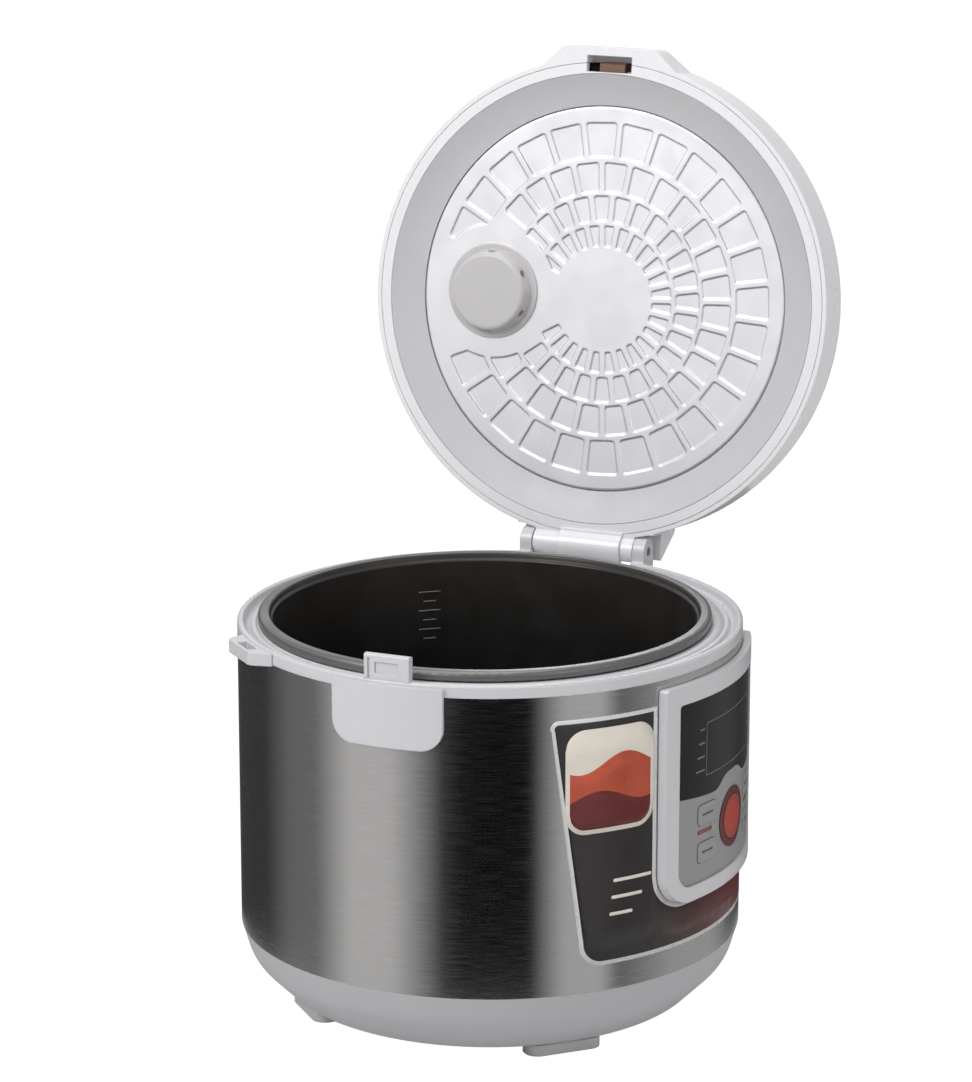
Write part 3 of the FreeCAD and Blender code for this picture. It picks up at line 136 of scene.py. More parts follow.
# Rust marks on the silver field
RUST_NEAR = 24.5 * MM
RUST_FAR = 37.5 * MM
RUST_LOW = 115.2 * MM
RUST_HIGH = 117.4 * MM

# Marks on the keys
KEYS = ("key_left_low", "key_left_high", "key_right_low", "key_right_high")
KEY_PROUD = 0.5 * MM
KEY_FACE_SHIFT = 1.2 * MM
KEY_MARK_HALF_WIDTH = 5.0 * MM
KEY_MARK_HALF_HEIGHT = 0.6 * MM
KEY_MARK_COLUMNS = 6

# Film on the steel band, with a tip so that its pointed end does not close
DECAL_BOTTOM = 57.0 * MM
DECAL_TOP = 191.0 * MM
DECAL_LEFT_TOP = math.radians(-54.0)
DECAL_LEFT_BOTTOM = math.radians(-46.5)
DECAL_RIGHT = math.radians(24.0)
DECAL_BORDER = 2.2 * MM
DECAL_TOP_CORNER = 5.0 * MM
DECAL_CORNER = 13.0 * MM
DECAL_TIP = 0.05 * MM
BEZEL_CORNER = 18.0 * MM
BEZEL_GAP = 0.6 * MM
FOOT_DARK_SIDE = -75.0 * MM
FOOT_RED_SIDE = 20.0 * MM
SIDE_COLUMNS = 180
SIDE_ROWS = 6
LOW_COLUMNS = 90

# Printed field of the film and its waves, with a tip added in its corners
FIELD_ANGLE = math.radians(-39.5)
FIELD_HEIGHT = 157.0 * MM
FIELD_HALF_WIDTH = 26.0 * MM
FIELD_HALF_HEIGHT = 28.0 * MM
FIELD_CORNER = 11.0 * MM
FIELD_EDGE = 2.4 * MM
FIELD_TIP = 0.01 * MM
FIELD_COLUMNS = 60
FIELD_ROWS = 4

# Dashes under the printed field, from the lowest up
DASH_ROWS = 3
DASH_HEIGHT = 84.0 * MM
DASH_PITCH = 9.0 * MM
DASH_ANGLE = math.radians(-37.0)
DASH_TURN = math.radians(1.5)
DASH_REACH = 7.0 * MM
DASH_GROWTH = 2.5 * MM
DASH_HALF_HEIGHT = 0.9 * MM
DASH_CORNER = 0.8 * MM

# Step that reaches from the collar's opening to under the bead of the pot
COLLAR_OPENING = 124.6 * MM
BEAD_HEIGHT = 5.4 * MM
STEP_GAP = 0.3 * MM
STEP_REACH = 2.0 * MM
STEP_DEPTH = 1.2 * MM
STEP_OPEN = math.radians(26.0)
STEP_COLUMNS = 160

# Coating of the pot, measured in from its rim; the coat is painted darker deeper in, as painted shade
# inside the pot
BARE_INSET = 5.6 * MM
BARE_BLUR = 0.2 * MM
COAT_SHADE_DEEP = 60.0 * MM
COAT_SHADE_SHALLOW = 8.0 * MM

# Level lines inside the pot, from the highest down
POT_WALL_INSET = 8.0 * MM
LEVEL_ANGLE = math.radians(129.0)
LEVEL_ROWS = 6
LEVEL_TOP = 192.0 * MM
LEVEL_PITCH = 5.4 * MM
LEVEL_LONG = math.radians(3.2)
LEVEL_SHORT = math.radians(1.9)
LEVEL_HEIGHT = 0.8 * MM
LEVEL_COLUMNS = 6

# Studio
PURE_WHITE = (1.0, 1.0, 1.0)
LAMP_AIM_HEIGHT = 0.22
WORLD_FILL = 0.42
WORLD_SIDE_LEFT = -0.1
WORLD_SIDE_RIGHT = 0.9
WORLD_SIDE_TONE = 0.45
WORLD_SKY_LOW = 0.08
WORLD_SKY_HIGH = 0.85
WORLD_SKY_TONE = 0.35
FLOOR_SIDE = 12.0
FLOOR_GLOW = 0.88
FLOOR_SHINE = 0.50
FLOOR_WHITE = 1.14
SCREEN_RADIUS = 0.20
SCREEN_HEIGHT = 0.24
SCREEN_COLUMNS = 96

# Brightness of the screen by the angle from the camera in degrees, positive to the right of the view
SCREEN_TONES = (
    (-180, 0.40),
    (-150, 0.45),
    (-122, 0.05),
    (-86, 0.05),
    (-70, 0.20),
    (-58, 0.20),
    (-44, 0.66),
    (-30, 0.62),
    (-14, 0.03),
    (-8, 0.0),
    (12, 0.0),
    (22, 0.55),
    (34, 0.55),
    (40, 0.12),
    (62, 0.45),
    (84, 0.45),
    (104, 0.10),
    (146, 0.10),
    (180, 0.40),
)


def add_object(name, data):
    """Object made of some data, put into the scene."""
    made = bpy.data.objects.new(name, data)
    bpy.context.scene.collection.objects.link(made)
    return made


# Materials

class Shading:
    """Short calls for the nodes of one tree."""

    def __init__(self, tree):
        self.nodes = tree.nodes
        self.links = tree.links

    def node(self, kind, **values):
        made = self.nodes.new(kind)
        for key, value in values.items():
            setattr(made, key, value)
        return made

    def feed(self, value, socket):
        """Sets a socket to a number or a colour, or links another socket to it."""
        if isinstance(value, (int, float)):
            socket.default_value = value
        elif isinstance(value, tuple):
            socket.default_value = (*value, 1.0)
        else:
            self.links.new(value, socket)

    def place(self, kind="Object"):
        return self.node("ShaderNodeTexCoord").outputs[kind]

    def axis(self, name, kind="Object"):
        split = self.node("ShaderNodeSeparateXYZ")
        self.feed(self.place(kind), split.inputs[0])
        return split.outputs[name]

    def along(self, direction, kind="Object"):
        """Share of the place that lies along a level direction."""
        first = self.times(self.axis("X", kind), direction.x)
        second = self.times(self.axis("Y", kind), direction.y)
        return self.plus(first, second)

    def math(self, operation, first, second=0.0):
        made = self.node("ShaderNodeMath", operation=operation)
        self.feed(first, made.inputs[0])
        self.feed(second, made.inputs[1])
        return made.outputs[0]

    def plus(self, first, second):
        return self.math("ADD", first, second)

    def minus(self, first, second):
        return self.math("SUBTRACT", first, second)

    def times(self, first, second):
        return self.math("MULTIPLY", first, second)

    def power(self, value, exponent):
        return self.math("POWER", value, exponent)

    def distance(self, first, second):
        """Length of the diagonal over two sides at right angles."""
        return self.math("SQRT", self.plus(self.power(first, 2.0), self.power(second, 2.0)))

    def span(self, value, low, high, start=0.0, end=1.0):
        """Value mapped smoothly from low..high to start..end."""
        made = self.node("ShaderNodeMapRange", interpolation_type="SMOOTHSTEP")
        self.feed(value, made.inputs["Value"])
        self.feed(low, made.inputs["From Min"])
        self.feed(high, made.inputs["From Max"])
        self.feed(start, made.inputs["To Min"])
        self.feed(end, made.inputs["To Max"])
        return made.outputs["Result"]

    def stretched(self, x, y, z):
        scale = self.node("ShaderNodeMapping")
        self.feed(self.place(), scale.inputs["Vector"])
        scale.inputs["Scale"].default_value = (x, y, z)
        return scale.outputs["Vector"]

    def noise(self, scale, detail, vector=None):
        made = self.node("ShaderNodeTexNoise")
        self.feed(vector or self.place(), made.inputs["Vector"])
        self.feed(scale, made.inputs["Scale"])
        self.feed(detail, made.inputs["Detail"])
        return made.outputs["Fac"]

    def cells(self, scale):
        made = self.node("ShaderNodeTexVoronoi")
        self.feed(self.place(), made.inputs["Vector"])
        self.feed(scale, made.inputs["Scale"])
        return made.outputs["Distance"]

    def mix(self, share, first, second):
        made = self.node("ShaderNodeMix", data_type="RGBA")
        self.feed(share, made.inputs["Factor"])
        self.feed(first, made.inputs["A"])
        self.feed(second, made.inputs["B"])
        return made.outputs["Result"]


class Paint(Shading):
    """One procedural material, fed by the short calls above."""

    def __init__(self, name, color, rough, metal=0.0, **sockets):
        self.name = name
        self.material = bpy.data.materials.new(name)
        self.material.use_nodes = True
        super().__init__(self.material.node_tree)
        self.shader = self.nodes["Principled BSDF"]
        self.color = color
        self.bevel = None
        self.set_color(color)
        self.set_rough(rough)
        self.feed(metal, self.shader.inputs["Metallic"])
        for socket, value in sockets.items():
            self.feed(value, self.shader.inputs[socket.replace("_", " ")])

    def set_color(self, value):
        self.feed(value, self.shader.inputs["Base Color"])

    def set_rough(self, value):
        self.feed(value, self.shader.inputs["Roughness"])

    def set_surface(self, value):
        self.feed(value, self.nodes["Material Output"].inputs["Surface"])

    def mottle(self, scale, amount):
        """Slow drift of the colour about its written value."""
        dark = tuple(part * (1 - amount) for part in self.color)
        light = tuple(min(1.0, part * (1 + amount)) for part in self.color)
        self.set_color(self.mix(self.noise(scale, detail=4.0), dark, light))

    def wear(self, scale, low, high):
        """Gloss that comes and goes between two roughnesses."""
        self.set_rough(self.span(self.noise(scale, detail=5.0), NOISE_LOW, NOISE_HIGH, low, high))

    def soften(self, radius):
        """Rounded look of moulded edges."""
        self.bevel = self.node("ShaderNodeBevel", samples=6)
        self.feed(radius, self.bevel.inputs["Radius"])
        self.feed(self.bevel.outputs[0], self.shader.inputs["Normal"])

    def relief(self, height, strength, distance):
        """Fine bumps, on top of the softened edges where there are any."""
        bump = self.node("ShaderNodeBump")
        self.feed(height, bump.inputs["Height"])
        self.feed(strength, bump.inputs["Strength"])
        self.feed(distance, bump.inputs["Distance"])
        if self.bevel:
            self.feed(self.bevel.outputs[0], bump.inputs["Normal"])
        self.feed(bump.outputs[0], self.shader.inputs["Normal"])


def plastic(name, color, rough, edge=0.8 * MM, grain=0.05, **sockets):
    """Moulded plastic: soft edges, faint orange peel, uneven gloss."""
    paint = Paint(name, color, rough, **sockets)
    paint.mottle(scale=9.0, amount=0.012)
    paint.wear(scale=38.0, low=rough * 0.93, high=rough * 1.08)
    paint.soften(edge)
    paint.relief(paint.noise(scale=700.0, detail=2.0), strength=grain, distance=0.12 * MM)
    return paint


def metal(name, color, rough, edge=0.3 * MM, grain=0.1, scale=900.0):
    """Plain metal with small tool marks and blotches."""
    paint = Paint(name, color, rough, metal=1.0)
    paint.mottle(scale=30.0, amount=0.06)
    paint.wear(scale=60.0, low=rough * 0.75, high=rough * 1.3)
    paint.soften(edge)
    paint.relief(paint.noise(scale, detail=3.0), strength=grain, distance=0.05 * MM)
    return paint


def brushed_band():
    """Stainless sheet brushed round the body, so reflections stretch up and down."""
    steel = (0.56, 0.55, 0.555)
    dark_stroke = (0.50, 0.49, 0.485)
    light_stroke = (0.62, 0.61, 0.605)
    paint = Paint("brushed_band", steel, rough=0.24, metal=1.0, Anisotropic=0.75, Anisotropic_Rotation=0.25)
    tangent = paint.node("ShaderNodeTangent", direction_type="RADIAL", axis="Z")
    paint.feed(tangent.outputs[0], paint.shader.inputs["Tangent"])
    turn = paint.math("ARCTAN2", paint.axis("Y"), paint.axis("X"))
    joined = paint.node("ShaderNodeCombineXYZ")
    paint.feed(paint.times(turn, STROKES_ROUND), joined.inputs["X"])
    paint.feed(paint.times(paint.axis("Z"), STROKES_UP), joined.inputs["Z"])
    strokes = paint.noise(scale=9.0, detail=6.0, vector=joined.outputs[0])
    paint.set_color(paint.mix(strokes, dark_stroke, light_stroke))
    paint.set_rough(paint.span(strokes, low=0.25, high=0.75, start=0.18, end=0.30))
    paint.relief(strokes, strength=0.05, distance=0.05 * MM)
    return paint


def pressed_plate():
    """Bright pressed aluminium, satin, with soft corners from the press."""
    paint = Paint("pressed_aluminium", (0.79, 0.79, 0.825), rough=0.36, metal=1.0)
    paint.mottle(scale=24.0, amount=0.05)
    paint.wear(scale=55.0, low=0.30, high=0.44)
    paint.soften(radius=1.3 * MM)
    paint.relief(paint.noise(scale=520.0, detail=4.0), strength=0.10, distance=0.10 * MM)
    return paint


def pot_coating():
    """Dark speckled coating, paler towards the rim and painted darker deeper down as shade in the pot, and
    dull grey metal on the rim bead.
    """
    bare_color = (0.20, 0.194, 0.19)
    bare_metallic = 0.6
    paint = Paint("pot_coating", (0.018, 0.017, 0.016), rough=0.33)
    radius = paint.distance(paint.minus(paint.axis("X"), POT_MIDDLE), paint.axis("Y"))
    edge = POT_RIM_RADIUS - BARE_INSET
    bare = paint.span(radius, edge - BARE_BLUR, edge + BARE_BLUR)
    speckle = paint.span(paint.cells(scale=900.0), low=0.12, high=0.22, start=1.0, end=0.0)
    # Darker speckled coat low in the pot: painted shade of the pot's hollow
    shaded_deep = paint.mix(speckle, (0.009, 0.009, 0.009), (0.030, 0.029, 0.028))
    upper = paint.mix(speckle, (0.022, 0.019, 0.017), (0.050, 0.046, 0.042))
    rise = paint.span(paint.axis("Z"), POT_HIGH.z - COAT_SHADE_DEEP, POT_HIGH.z - COAT_SHADE_SHALLOW)
    coat = paint.mix(rise, shaded_deep, upper)
    paint.set_color(paint.mix(bare, coat, bare_color))
    paint.feed(paint.times(bare, bare_metallic), paint.shader.inputs["Metallic"])
    blotches = paint.noise(scale=45.0, detail=4.0)
    paint.set_rough(paint.span(blotches, NOISE_LOW, NOISE_HIGH, start=0.30, end=0.44))
    paint.soften(radius=0.5 * MM)
    paint.relief(paint.noise(scale=800.0, detail=3.0), strength=0.12, distance=0.06 * MM)
    return paint


def panel_film():
    """Printed film: gloss black above, silver grey below, arched over the start button."""
    black_rough = 0.20
    silver_rough = 0.38
    paint = Paint("panel_film", (0.02, 0.019, 0.018), black_rough, Specular_IOR_Level=0.30)
    side = paint.axis("Y")
    bow = paint.power(paint.math("DIVIDE", side, SILVER_BOW_REACH), 2.0)
    fall = paint.power(paint.math("DIVIDE", side, SILVER_ARCH_REACH), 4.0)
    arch = paint.math("EXPONENT", paint.times(fall, -1.0))
    rise = paint.plus(paint.times(bow, SILVER_BOW), paint.times(arch, SILVER_ARCH))
    below = paint.minus(paint.plus(rise, SILVER_EDGE), paint.axis("Z"))
    silver = paint.span(below, -SILVER_BLUR, SILVER_BLUR)
    flake = paint.mix(paint.noise(scale=1500.0, detail=2.0), (0.26, 0.255, 0.26), (0.34, 0.335, 0.34))
    black = paint.mix(paint.noise(scale=30.0, detail=2.0), (0.006, 0.0055, 0.005), (0.012, 0.011, 0.010))
    paint.set_color(paint.mix(silver, black, flake))
    paint.set_rough(paint.plus(paint.times(silver, silver_rough - black_rough), black_rough))
    paint.soften(radius=0.4 * MM)
    return paint


def start_red():
    """Red of the start button, darker and duller round its edge."""
    dull_red = (0.30, 0.050, 0.042)
    paint = Paint("start_red", (0.42, 0.03, 0.018), rough=0.30, Specular_IOR_Level=0.35)
    radius = paint.distance(paint.minus(paint.axis("Z"), START_MIDDLE), paint.axis("Y"))
    rim = paint.span(radius, RED_CORE, RED_EDGE)
    core = paint.mix(paint.noise(scale=260.0, detail=2.0), (0.40, 0.028, 0.015), (0.48, 0.045, 0.025))
    paint.set_color(paint.mix(rim, core, dull_red))
    paint.soften(radius=0.6 * MM)
    paint.relief(paint.noise(scale=500.0, detail=2.0), strength=0.05, distance=0.05 * MM)
    return paint


def silicone():
    """Grey seal that lets a little light in."""
    grey = (0.56, 0.555, 0.575)
    paint = Paint("seal_silicone", grey, rough=0.42, Subsurface_Weight=0.15, Subsurface_Scale=0.004)
    paint.mottle(scale=14.0, amount=0.04)
    paint.wear(scale=50.0, low=0.36, high=0.5)
    paint.soften(radius=0.6 * MM)
    paint.relief(paint.noise(scale=420.0, detail=3.0), strength=0.06, distance=0.08 * MM)
    return paint


def circuit_board():
    """Green board with blotches like tracks."""
    paint = Paint("circuit_board", (0.03, 0.16, 0.07), rough=0.4)
    blotches = paint.noise(scale=160.0, detail=0.0, vector=paint.stretched(x=1.0, y=0.25, z=1.0))
    tracks = paint.span(blotches, low=0.52, high=0.54)
    paint.set_color(paint.mix(tracks, (0.03, 0.15, 0.06), (0.06, 0.24, 0.10)))
    paint.soften(radius=0.2 * MM)
    return paint


def ink(name, color, rough=0.3, metallic=0.0, drift=0.06):
    """Printed ink with a faint uneven gloss."""
    paint = Paint(name, color, rough, metallic)
    paint.mottle(scale=60.0, amount=drift)
    paint.wear(scale=90.0, low=rough * 0.8, high=rough * 1.3)
    return paint


LID_WHITE = (0.80, 0.79, 0.815)
# Greyer copy of the lid white, painted shade for the body's mouldings
SHADED_BODY_WHITE = (0.60, 0.59, 0.615)
VALVE_GREY = (0.55, 0.535, 0.54)
CAST_GREY = (0.50, 0.50, 0.51)

ALL_PAINTS = (
    plastic("white_plastic", LID_WHITE, rough=0.26, Coat_Weight=0.25, Coat_Roughness=0.12),
    plastic("shaded_body_white", SHADED_BODY_WHITE, rough=0.30, Coat_Weight=0.15, Coat_Roughness=0.15),
    plastic("base_plastic", (0.44, 0.43, 0.45), rough=0.42, grain=0.12),
    plastic("foot_rubber", (0.52, 0.52, 0.53), rough=0.62, grain=0.3),
    plastic("black_plastic", (0.02, 0.02, 0.021), rough=0.45, grain=0.15),
    plastic("valve_plastic", VALVE_GREY, rough=0.30, Subsurface_Weight=0.2, Subsurface_Scale=0.004),
    plastic("bolt_brown", (0.19, 0.10, 0.06), rough=0.35, edge=0.5 * MM, grain=0.1),
    plastic("ring_red", (0.10, 0.010, 0.009), rough=0.30, edge=0.3 * MM),
    plastic("key_silver", (0.30, 0.30, 0.305), rough=0.34, edge=0.5 * MM),
    plastic("display_glass", (0.015, 0.016, 0.015), rough=0.12, edge=0.3 * MM),
    plastic("ceramic_white", (0.70, 0.68, 0.62), rough=0.6, edge=0.3 * MM, grain=0.2),
    metal("sheet_aluminium", (0.62, 0.62, 0.63), rough=0.36),
    metal("cast_aluminium", CAST_GREY, rough=0.5, edge=0.6 * MM, grain=0.35, scale=500.0),
    metal("element_steel", (0.26, 0.25, 0.235), rough=0.45),
    metal("zinc_steel", (0.58, 0.58, 0.56), rough=0.33),
    metal("spring_steel", (0.42, 0.42, 0.43), rough=0.3, edge=0.1 * MM),
    metal("brass_pins", (0.62, 0.50, 0.27), rough=0.3),
    circuit_board(),
    brushed_band(),
    pressed_plate(),
    pot_coating(),
    panel_film(),
    start_red(),
    silicone(),
)
PAINTS = {paint.name: paint for paint in ALL_PAINTS}

# White mouldings of the body: a greyer copy of the lid's white plastic, which paints shade on them
BODY_MOULDINGS = ("top_collar", "panel_frame", "catch_tongue", "ladle_lug")


def paint_solids():
    """Gives every solid the paint of its material slot."""
    for part in record["subparts"]:
        piece = nodes[part["node"]]
        look = "shaded_body_white" if part["node"] in BODY_MOULDINGS else part["material_slot"]
        piece.data.materials.clear()
        piece.data.materials.append(PAINTS[look].material)


# Thin pieces that lie on the round body

def thin_piece(name, corners, faces, paint, depth, body):
    """Sheet of a given depth behind its faces, riding on a body."""
    mesh = bpy.data.meshes.new(name)
    mesh.from_pydata(corners, [], faces)
    mesh.shade_smooth()
    mesh.materials.append(paint.material)
    piece = add_object(name, mesh)
    thickness = piece.modifiers.new("thickness", "SOLIDIFY")
    thickness.thickness = depth
    thickness.offset = -1.0
    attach(piece, body)


def grid_faces(columns, rows):
    """Faces between columns of corners that are listed one after the other."""
    step = rows + 1
    faces = []
    for column in range(columns):
        for row in range(rows):
            first = column * step + row
            faces.append((first, first + step, first + step + 1, first + 1))
    return faces


def film(
    name,
    paint,
    radius,
    start,
    end,
    low,
    high,
    columns,
    rows=1,
    body="cooker_body",
    axis_x=0.0,
):
    """Curved sheet between two angles about an upright axis, from low(angle) to high(angle)."""
    corners = []
    for column in range(columns + 1):
        angle = start + (end - start) * column / columns
        bottom, top = low(angle), high(angle)
        for row in range(rows + 1):
            z = bottom + (top - bottom) * row / rows
            corners.append((axis_x + radius * math.cos(angle), radius * math.sin(angle), z))
    thin_piece(name, corners, grid_faces(columns, rows), paint, SHEET_DEPTH, body)


def level(z):
    """Edge of a film that keeps one height."""
    return lambda angle: z


def corner_bend(over, corner):
    """Offset of a round corner from its straight edge, at a distance past the start of the corner."""
    within = max(0.0, over)
    return corner - math.sqrt(max(0.0, corner * corner - within * within))


# Print on the panel and its keys

def bar(name, paint, y_low, y_high, z_low, z_high):
    """Small printed bar on the panel film."""
    radius = FASCIA_RADIUS + PRINT_LIFT
    start = math.asin(y_low / radius)
    end = math.asin(y_high / radius)
    columns = max(BAR_LEAST_COLUMNS, int((y_high - y_low) / BAR_COLUMN))
    film(name, paint, radius, start, end, level(z_low), level(z_high), columns)


def bar_pair(name, paint, near, far, z_low, z_high):
    """Like bars on both sides of the panel's middle, with the side put into their name."""
    bar(name % "left", paint, -far, -near, z_low, z_high)
    bar(name % "right", paint, near, far, z_low, z_high)


def panel_print():
    """Outline round the display and small plain marks beside it and on the silver field."""
    pale = ink("print_pale", (0.16, 0.155, 0.15))
    left, right = DISPLAY_LOW.y, DISPLAY_HIGH.y
    low, high = DISPLAY_LOW.z - OUTLINE_DROP, DISPLAY_HIGH.z - OUTLINE_INSET
    bar("display_line_top", pale, left, right, high - LINE, high)
    bar("display_line_low", pale, left, right, low, low + LINE)
    bar("display_line_left", pale, left - LINE, left, low, high)
    bar("display_line_right", pale, right, right + LINE, low, high)
    near = right + MARK_GAP
    for row in range(MARK_ROWS):
        z = high - MARK_DROP - MARK_PITCH * row
        far = near + MARK_REACH + MARK_GROWTH * row
        bar_pair("mark_%s_" + str(row), pale, near, far, z - MARK_HALF_HEIGHT, z + MARK_HALF_HEIGHT)
    rust = ink("print_rust", (0.24, 0.07, 0.055))
    bar_pair("mark_rust_%s", rust, RUST_NEAR, RUST_FAR, RUST_LOW, RUST_HIGH)


def key_marks():
    """Short dark bar on each key, riding on it."""
    dark = ink("print_dark", (0.10, 0.10, 0.10))
    radius = FASCIA_RADIUS + KEY_PROUD + PRINT_LIFT
    half = KEY_MARK_HALF_WIDTH / radius
    for key in KEYS:
        low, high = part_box(key)
        middle = math.atan2((low.y + high.y) / 2, (low.x + high.x) / 2 + KEY_FACE_SHIFT)
        z = (low.z + high.z) / 2
        film(
            key + "_mark",
            dark,
            radius,
            middle - half,
            middle + half,
            level(z - KEY_MARK_HALF_HEIGHT),
            level(z + KEY_MARK_HALF_HEIGHT),
            KEY_MARK_COLUMNS,
            body=key,
        )


# Springs copied onto the parent bodies of their joints

def squeezed(node, joint):
    """Copy of a spring that rides on the parent body of its joint, in place of the hidden solid."""
    motion = next(row for row in record["behaviour"]["joints"] if row["name"] == joint)
    body = motion["parent"]
    source = nodes[node]
    piece = source.copy()
    piece.data = source.data.copy()
    piece.name = node + "_coil"
    bpy.context.scene.collection.objects.link(piece)
    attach(piece, body)
    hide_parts(node)
    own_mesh(piece)


def squeeze_springs():
    squeezed("latch_spring", "bolt_draw")
    squeezed("sensor_spring", "sensor_press")


# Collar under the rim of the pot

def collar_step():
    """White step that reaches in from the collar under the rim bead, open at the hinge."""
    height = POT_HIGH.z - BEAD_HEIGHT - STEP_GAP
    start = math.pi / 2 + STEP_OPEN
    sweep = 2 * (math.pi - STEP_OPEN)
    inner = POT_RIM_RADIUS - STEP_REACH
    corners = []
    for column in range(STEP_COLUMNS + 1):
        angle = start + sweep * column / STEP_COLUMNS
        across, along = math.cos(angle), math.sin(angle)
        corners.append((COLLAR_OPENING * across, COLLAR_OPENING * along, height))
        corners.append((POT_MIDDLE + inner * across, inner * along, height))
    faces = grid_faces(STEP_COLUMNS, 1)
    # The step takes the greyer white that paints shade on the body's mouldings
    white = PAINTS["shaded_body_white"]
    thin_piece("collar_step", corners, faces, white, STEP_DEPTH, "cooker_body")


# Film on the steel band beside and below the panel

def bezel_edge(gap):
    """Angle of the bezel's left edge and the height of its lower edge at an angle, with a gap."""
    half = (PANEL_HIGH.y - PANEL_LOW.y) / 2 + gap
    corner = BEZEL_CORNER + gap

    def height(angle):
        over = abs(BAND_RADIUS * math.sin(angle)) - (half - corner)
        return PANEL_LOW.z - gap + corner_bend(over, corner)

    return -math.asin(half / BAND_RADIUS), height


def side_sheet(name, paint, radius, inset, right):
    """Upright part of the film, with a slanting left edge and round corners."""
    low = DECAL_BOTTOM + inset
    high = DECAL_TOP - inset
    corner = DECAL_CORNER - inset
    top_corner = DECAL_TOP_CORNER - inset
    shift = inset / BAND_RADIUS
    left_low = DECAL_LEFT_BOTTOM + shift
    left_high = DECAL_LEFT_TOP + shift
    lean = (left_low - left_high) / (high - low)
    bend_left = left_low - lean * corner

    def bottom(angle):
        over = corner - (angle - bend_left) * radius
        if over < corner:
            return low + corner_bend(over, corner)
        return min(high - top_corner, high - (angle - left_high) / lean)

    def top(angle):
        over = top_corner - (angle - left_high) * radius
        if over <= 0:
            return high
        return high - corner_bend(over, top_corner) + DECAL_TIP

    film(name, paint, radius, left_high, right, bottom, top, SIDE_COLUMNS, SIDE_ROWS)


def rounded(name, paint, radius, middle, height, half_width, half_height, corner):
    """Printed field with round corners, centred on an angle and a height of the band."""
    half = half_width / radius

    def rise(angle):
        over = abs(angle - middle) * radius - (half_width - corner)
        if over <= 0:
            return half_height
        return half_height - corner_bend(over, corner) + FIELD_TIP

    def bottom(angle):
        return height - rise(angle)

    def top(angle):
        return height + rise(angle)

    film(name, paint, radius, middle - half, middle + half, bottom, top, FIELD_COLUMNS, FIELD_ROWS)


def wave(name, paint, radius, offset, swing, phase):
    """Lower part of the printed field, up to a wavy edge."""
    width = FIELD_HALF_WIDTH - FIELD_EDGE
    corner = FIELD_CORNER - FIELD_EDGE
    start = FIELD_ANGLE - width / radius
    end = FIELD_ANGLE + width / radius

    def bottom(angle):
        over = abs(angle - FIELD_ANGLE) * radius - (width - corner)
        return FIELD_HEIGHT - FIELD_HALF_HEIGHT + FIELD_EDGE + corner_bend(over, corner)

    def top(angle):
        along = (angle - FIELD_ANGLE) * radius / FIELD_HALF_WIDTH
        return FIELD_HEIGHT + offset + swing * math.sin(math.pi * along + phase)

    film(name, paint, radius, start, end, bottom, top, FIELD_COLUMNS, FIELD_ROWS)


def foot_ink():
    """Ink of the strip under the panel, from charcoal on the left to red on the right."""
    paint = ink("film_foot", (0.08, 0.012, 0.011), rough=0.34)
    across = paint.span(paint.axis("Y"), FOOT_DARK_SIDE, FOOT_RED_SIDE)
    paint.set_color(paint.mix(across, (0.026, 0.022, 0.022), (0.13, 0.014, 0.013)))
    return paint


def decal():
    """Plain film: a charcoal sheet with a pale border, a field with two waves, dashes and a red foot."""
    charcoal = ink("film_charcoal", (0.026, 0.022, 0.022), rough=0.34)
    pale = ink("film_pale", (0.70, 0.69, 0.69), rough=0.30, metallic=0.20)
    red = ink("film_red", (0.13, 0.016, 0.015), rough=0.32)
    foot = foot_ink()
    warm = ink("film_warm", (0.46, 0.070, 0.030), rough=0.32, drift=0.25)
    ivory = ink("film_ivory", (0.72, 0.66, 0.58), rough=0.32)
    edge, under = bezel_edge(BEZEL_GAP)
    inner_edge, inner_under = bezel_edge(BEZEL_GAP + DECAL_BORDER)
    border, base, field, high_wave, low_wave = [
        BAND_RADIUS + FILM_LIFT + SHEET_STEP * layer for layer in range(5)
    ]
    side_sheet("film_side_border", pale, border, inset=0.0, right=edge)
    side_sheet("film_side", charcoal, base, inset=DECAL_BORDER, right=inner_edge)
    film("film_low_border", pale, border, edge, DECAL_RIGHT, level(DECAL_BOTTOM), under, LOW_COLUMNS)
    film(
        "film_low",
        foot,
        base,
        inner_edge - SHEET_STEP / BAND_RADIUS,
        DECAL_RIGHT - DECAL_BORDER / BAND_RADIUS,
        level(DECAL_BOTTOM + DECAL_BORDER),
        inner_under,
        LOW_COLUMNS,
    )
    rounded(
        "film_field",
        ivory,
        field,
        FIELD_ANGLE,
        FIELD_HEIGHT,
        FIELD_HALF_WIDTH,
        FIELD_HALF_HEIGHT,
        FIELD_CORNER,
    )
    wave("film_wave_high", warm, high_wave, offset=9.0 * MM, swing=5.0 * MM, phase=0.6)
    wave("film_wave_low", red, low_wave, offset=-9.0 * MM, swing=3.5 * MM, phase=2.4)
    for row in range(DASH_ROWS):
        rounded(
            "film_dash_%d" % row,
            ivory,
            field,
            DASH_ANGLE + DASH_TURN * row,
            DASH_HEIGHT + DASH_PITCH * row,
            DASH_REACH + DASH_GROWTH * row,
            DASH_HALF_HEIGHT,
            DASH_CORNER,
        )


# Lines inside the pot

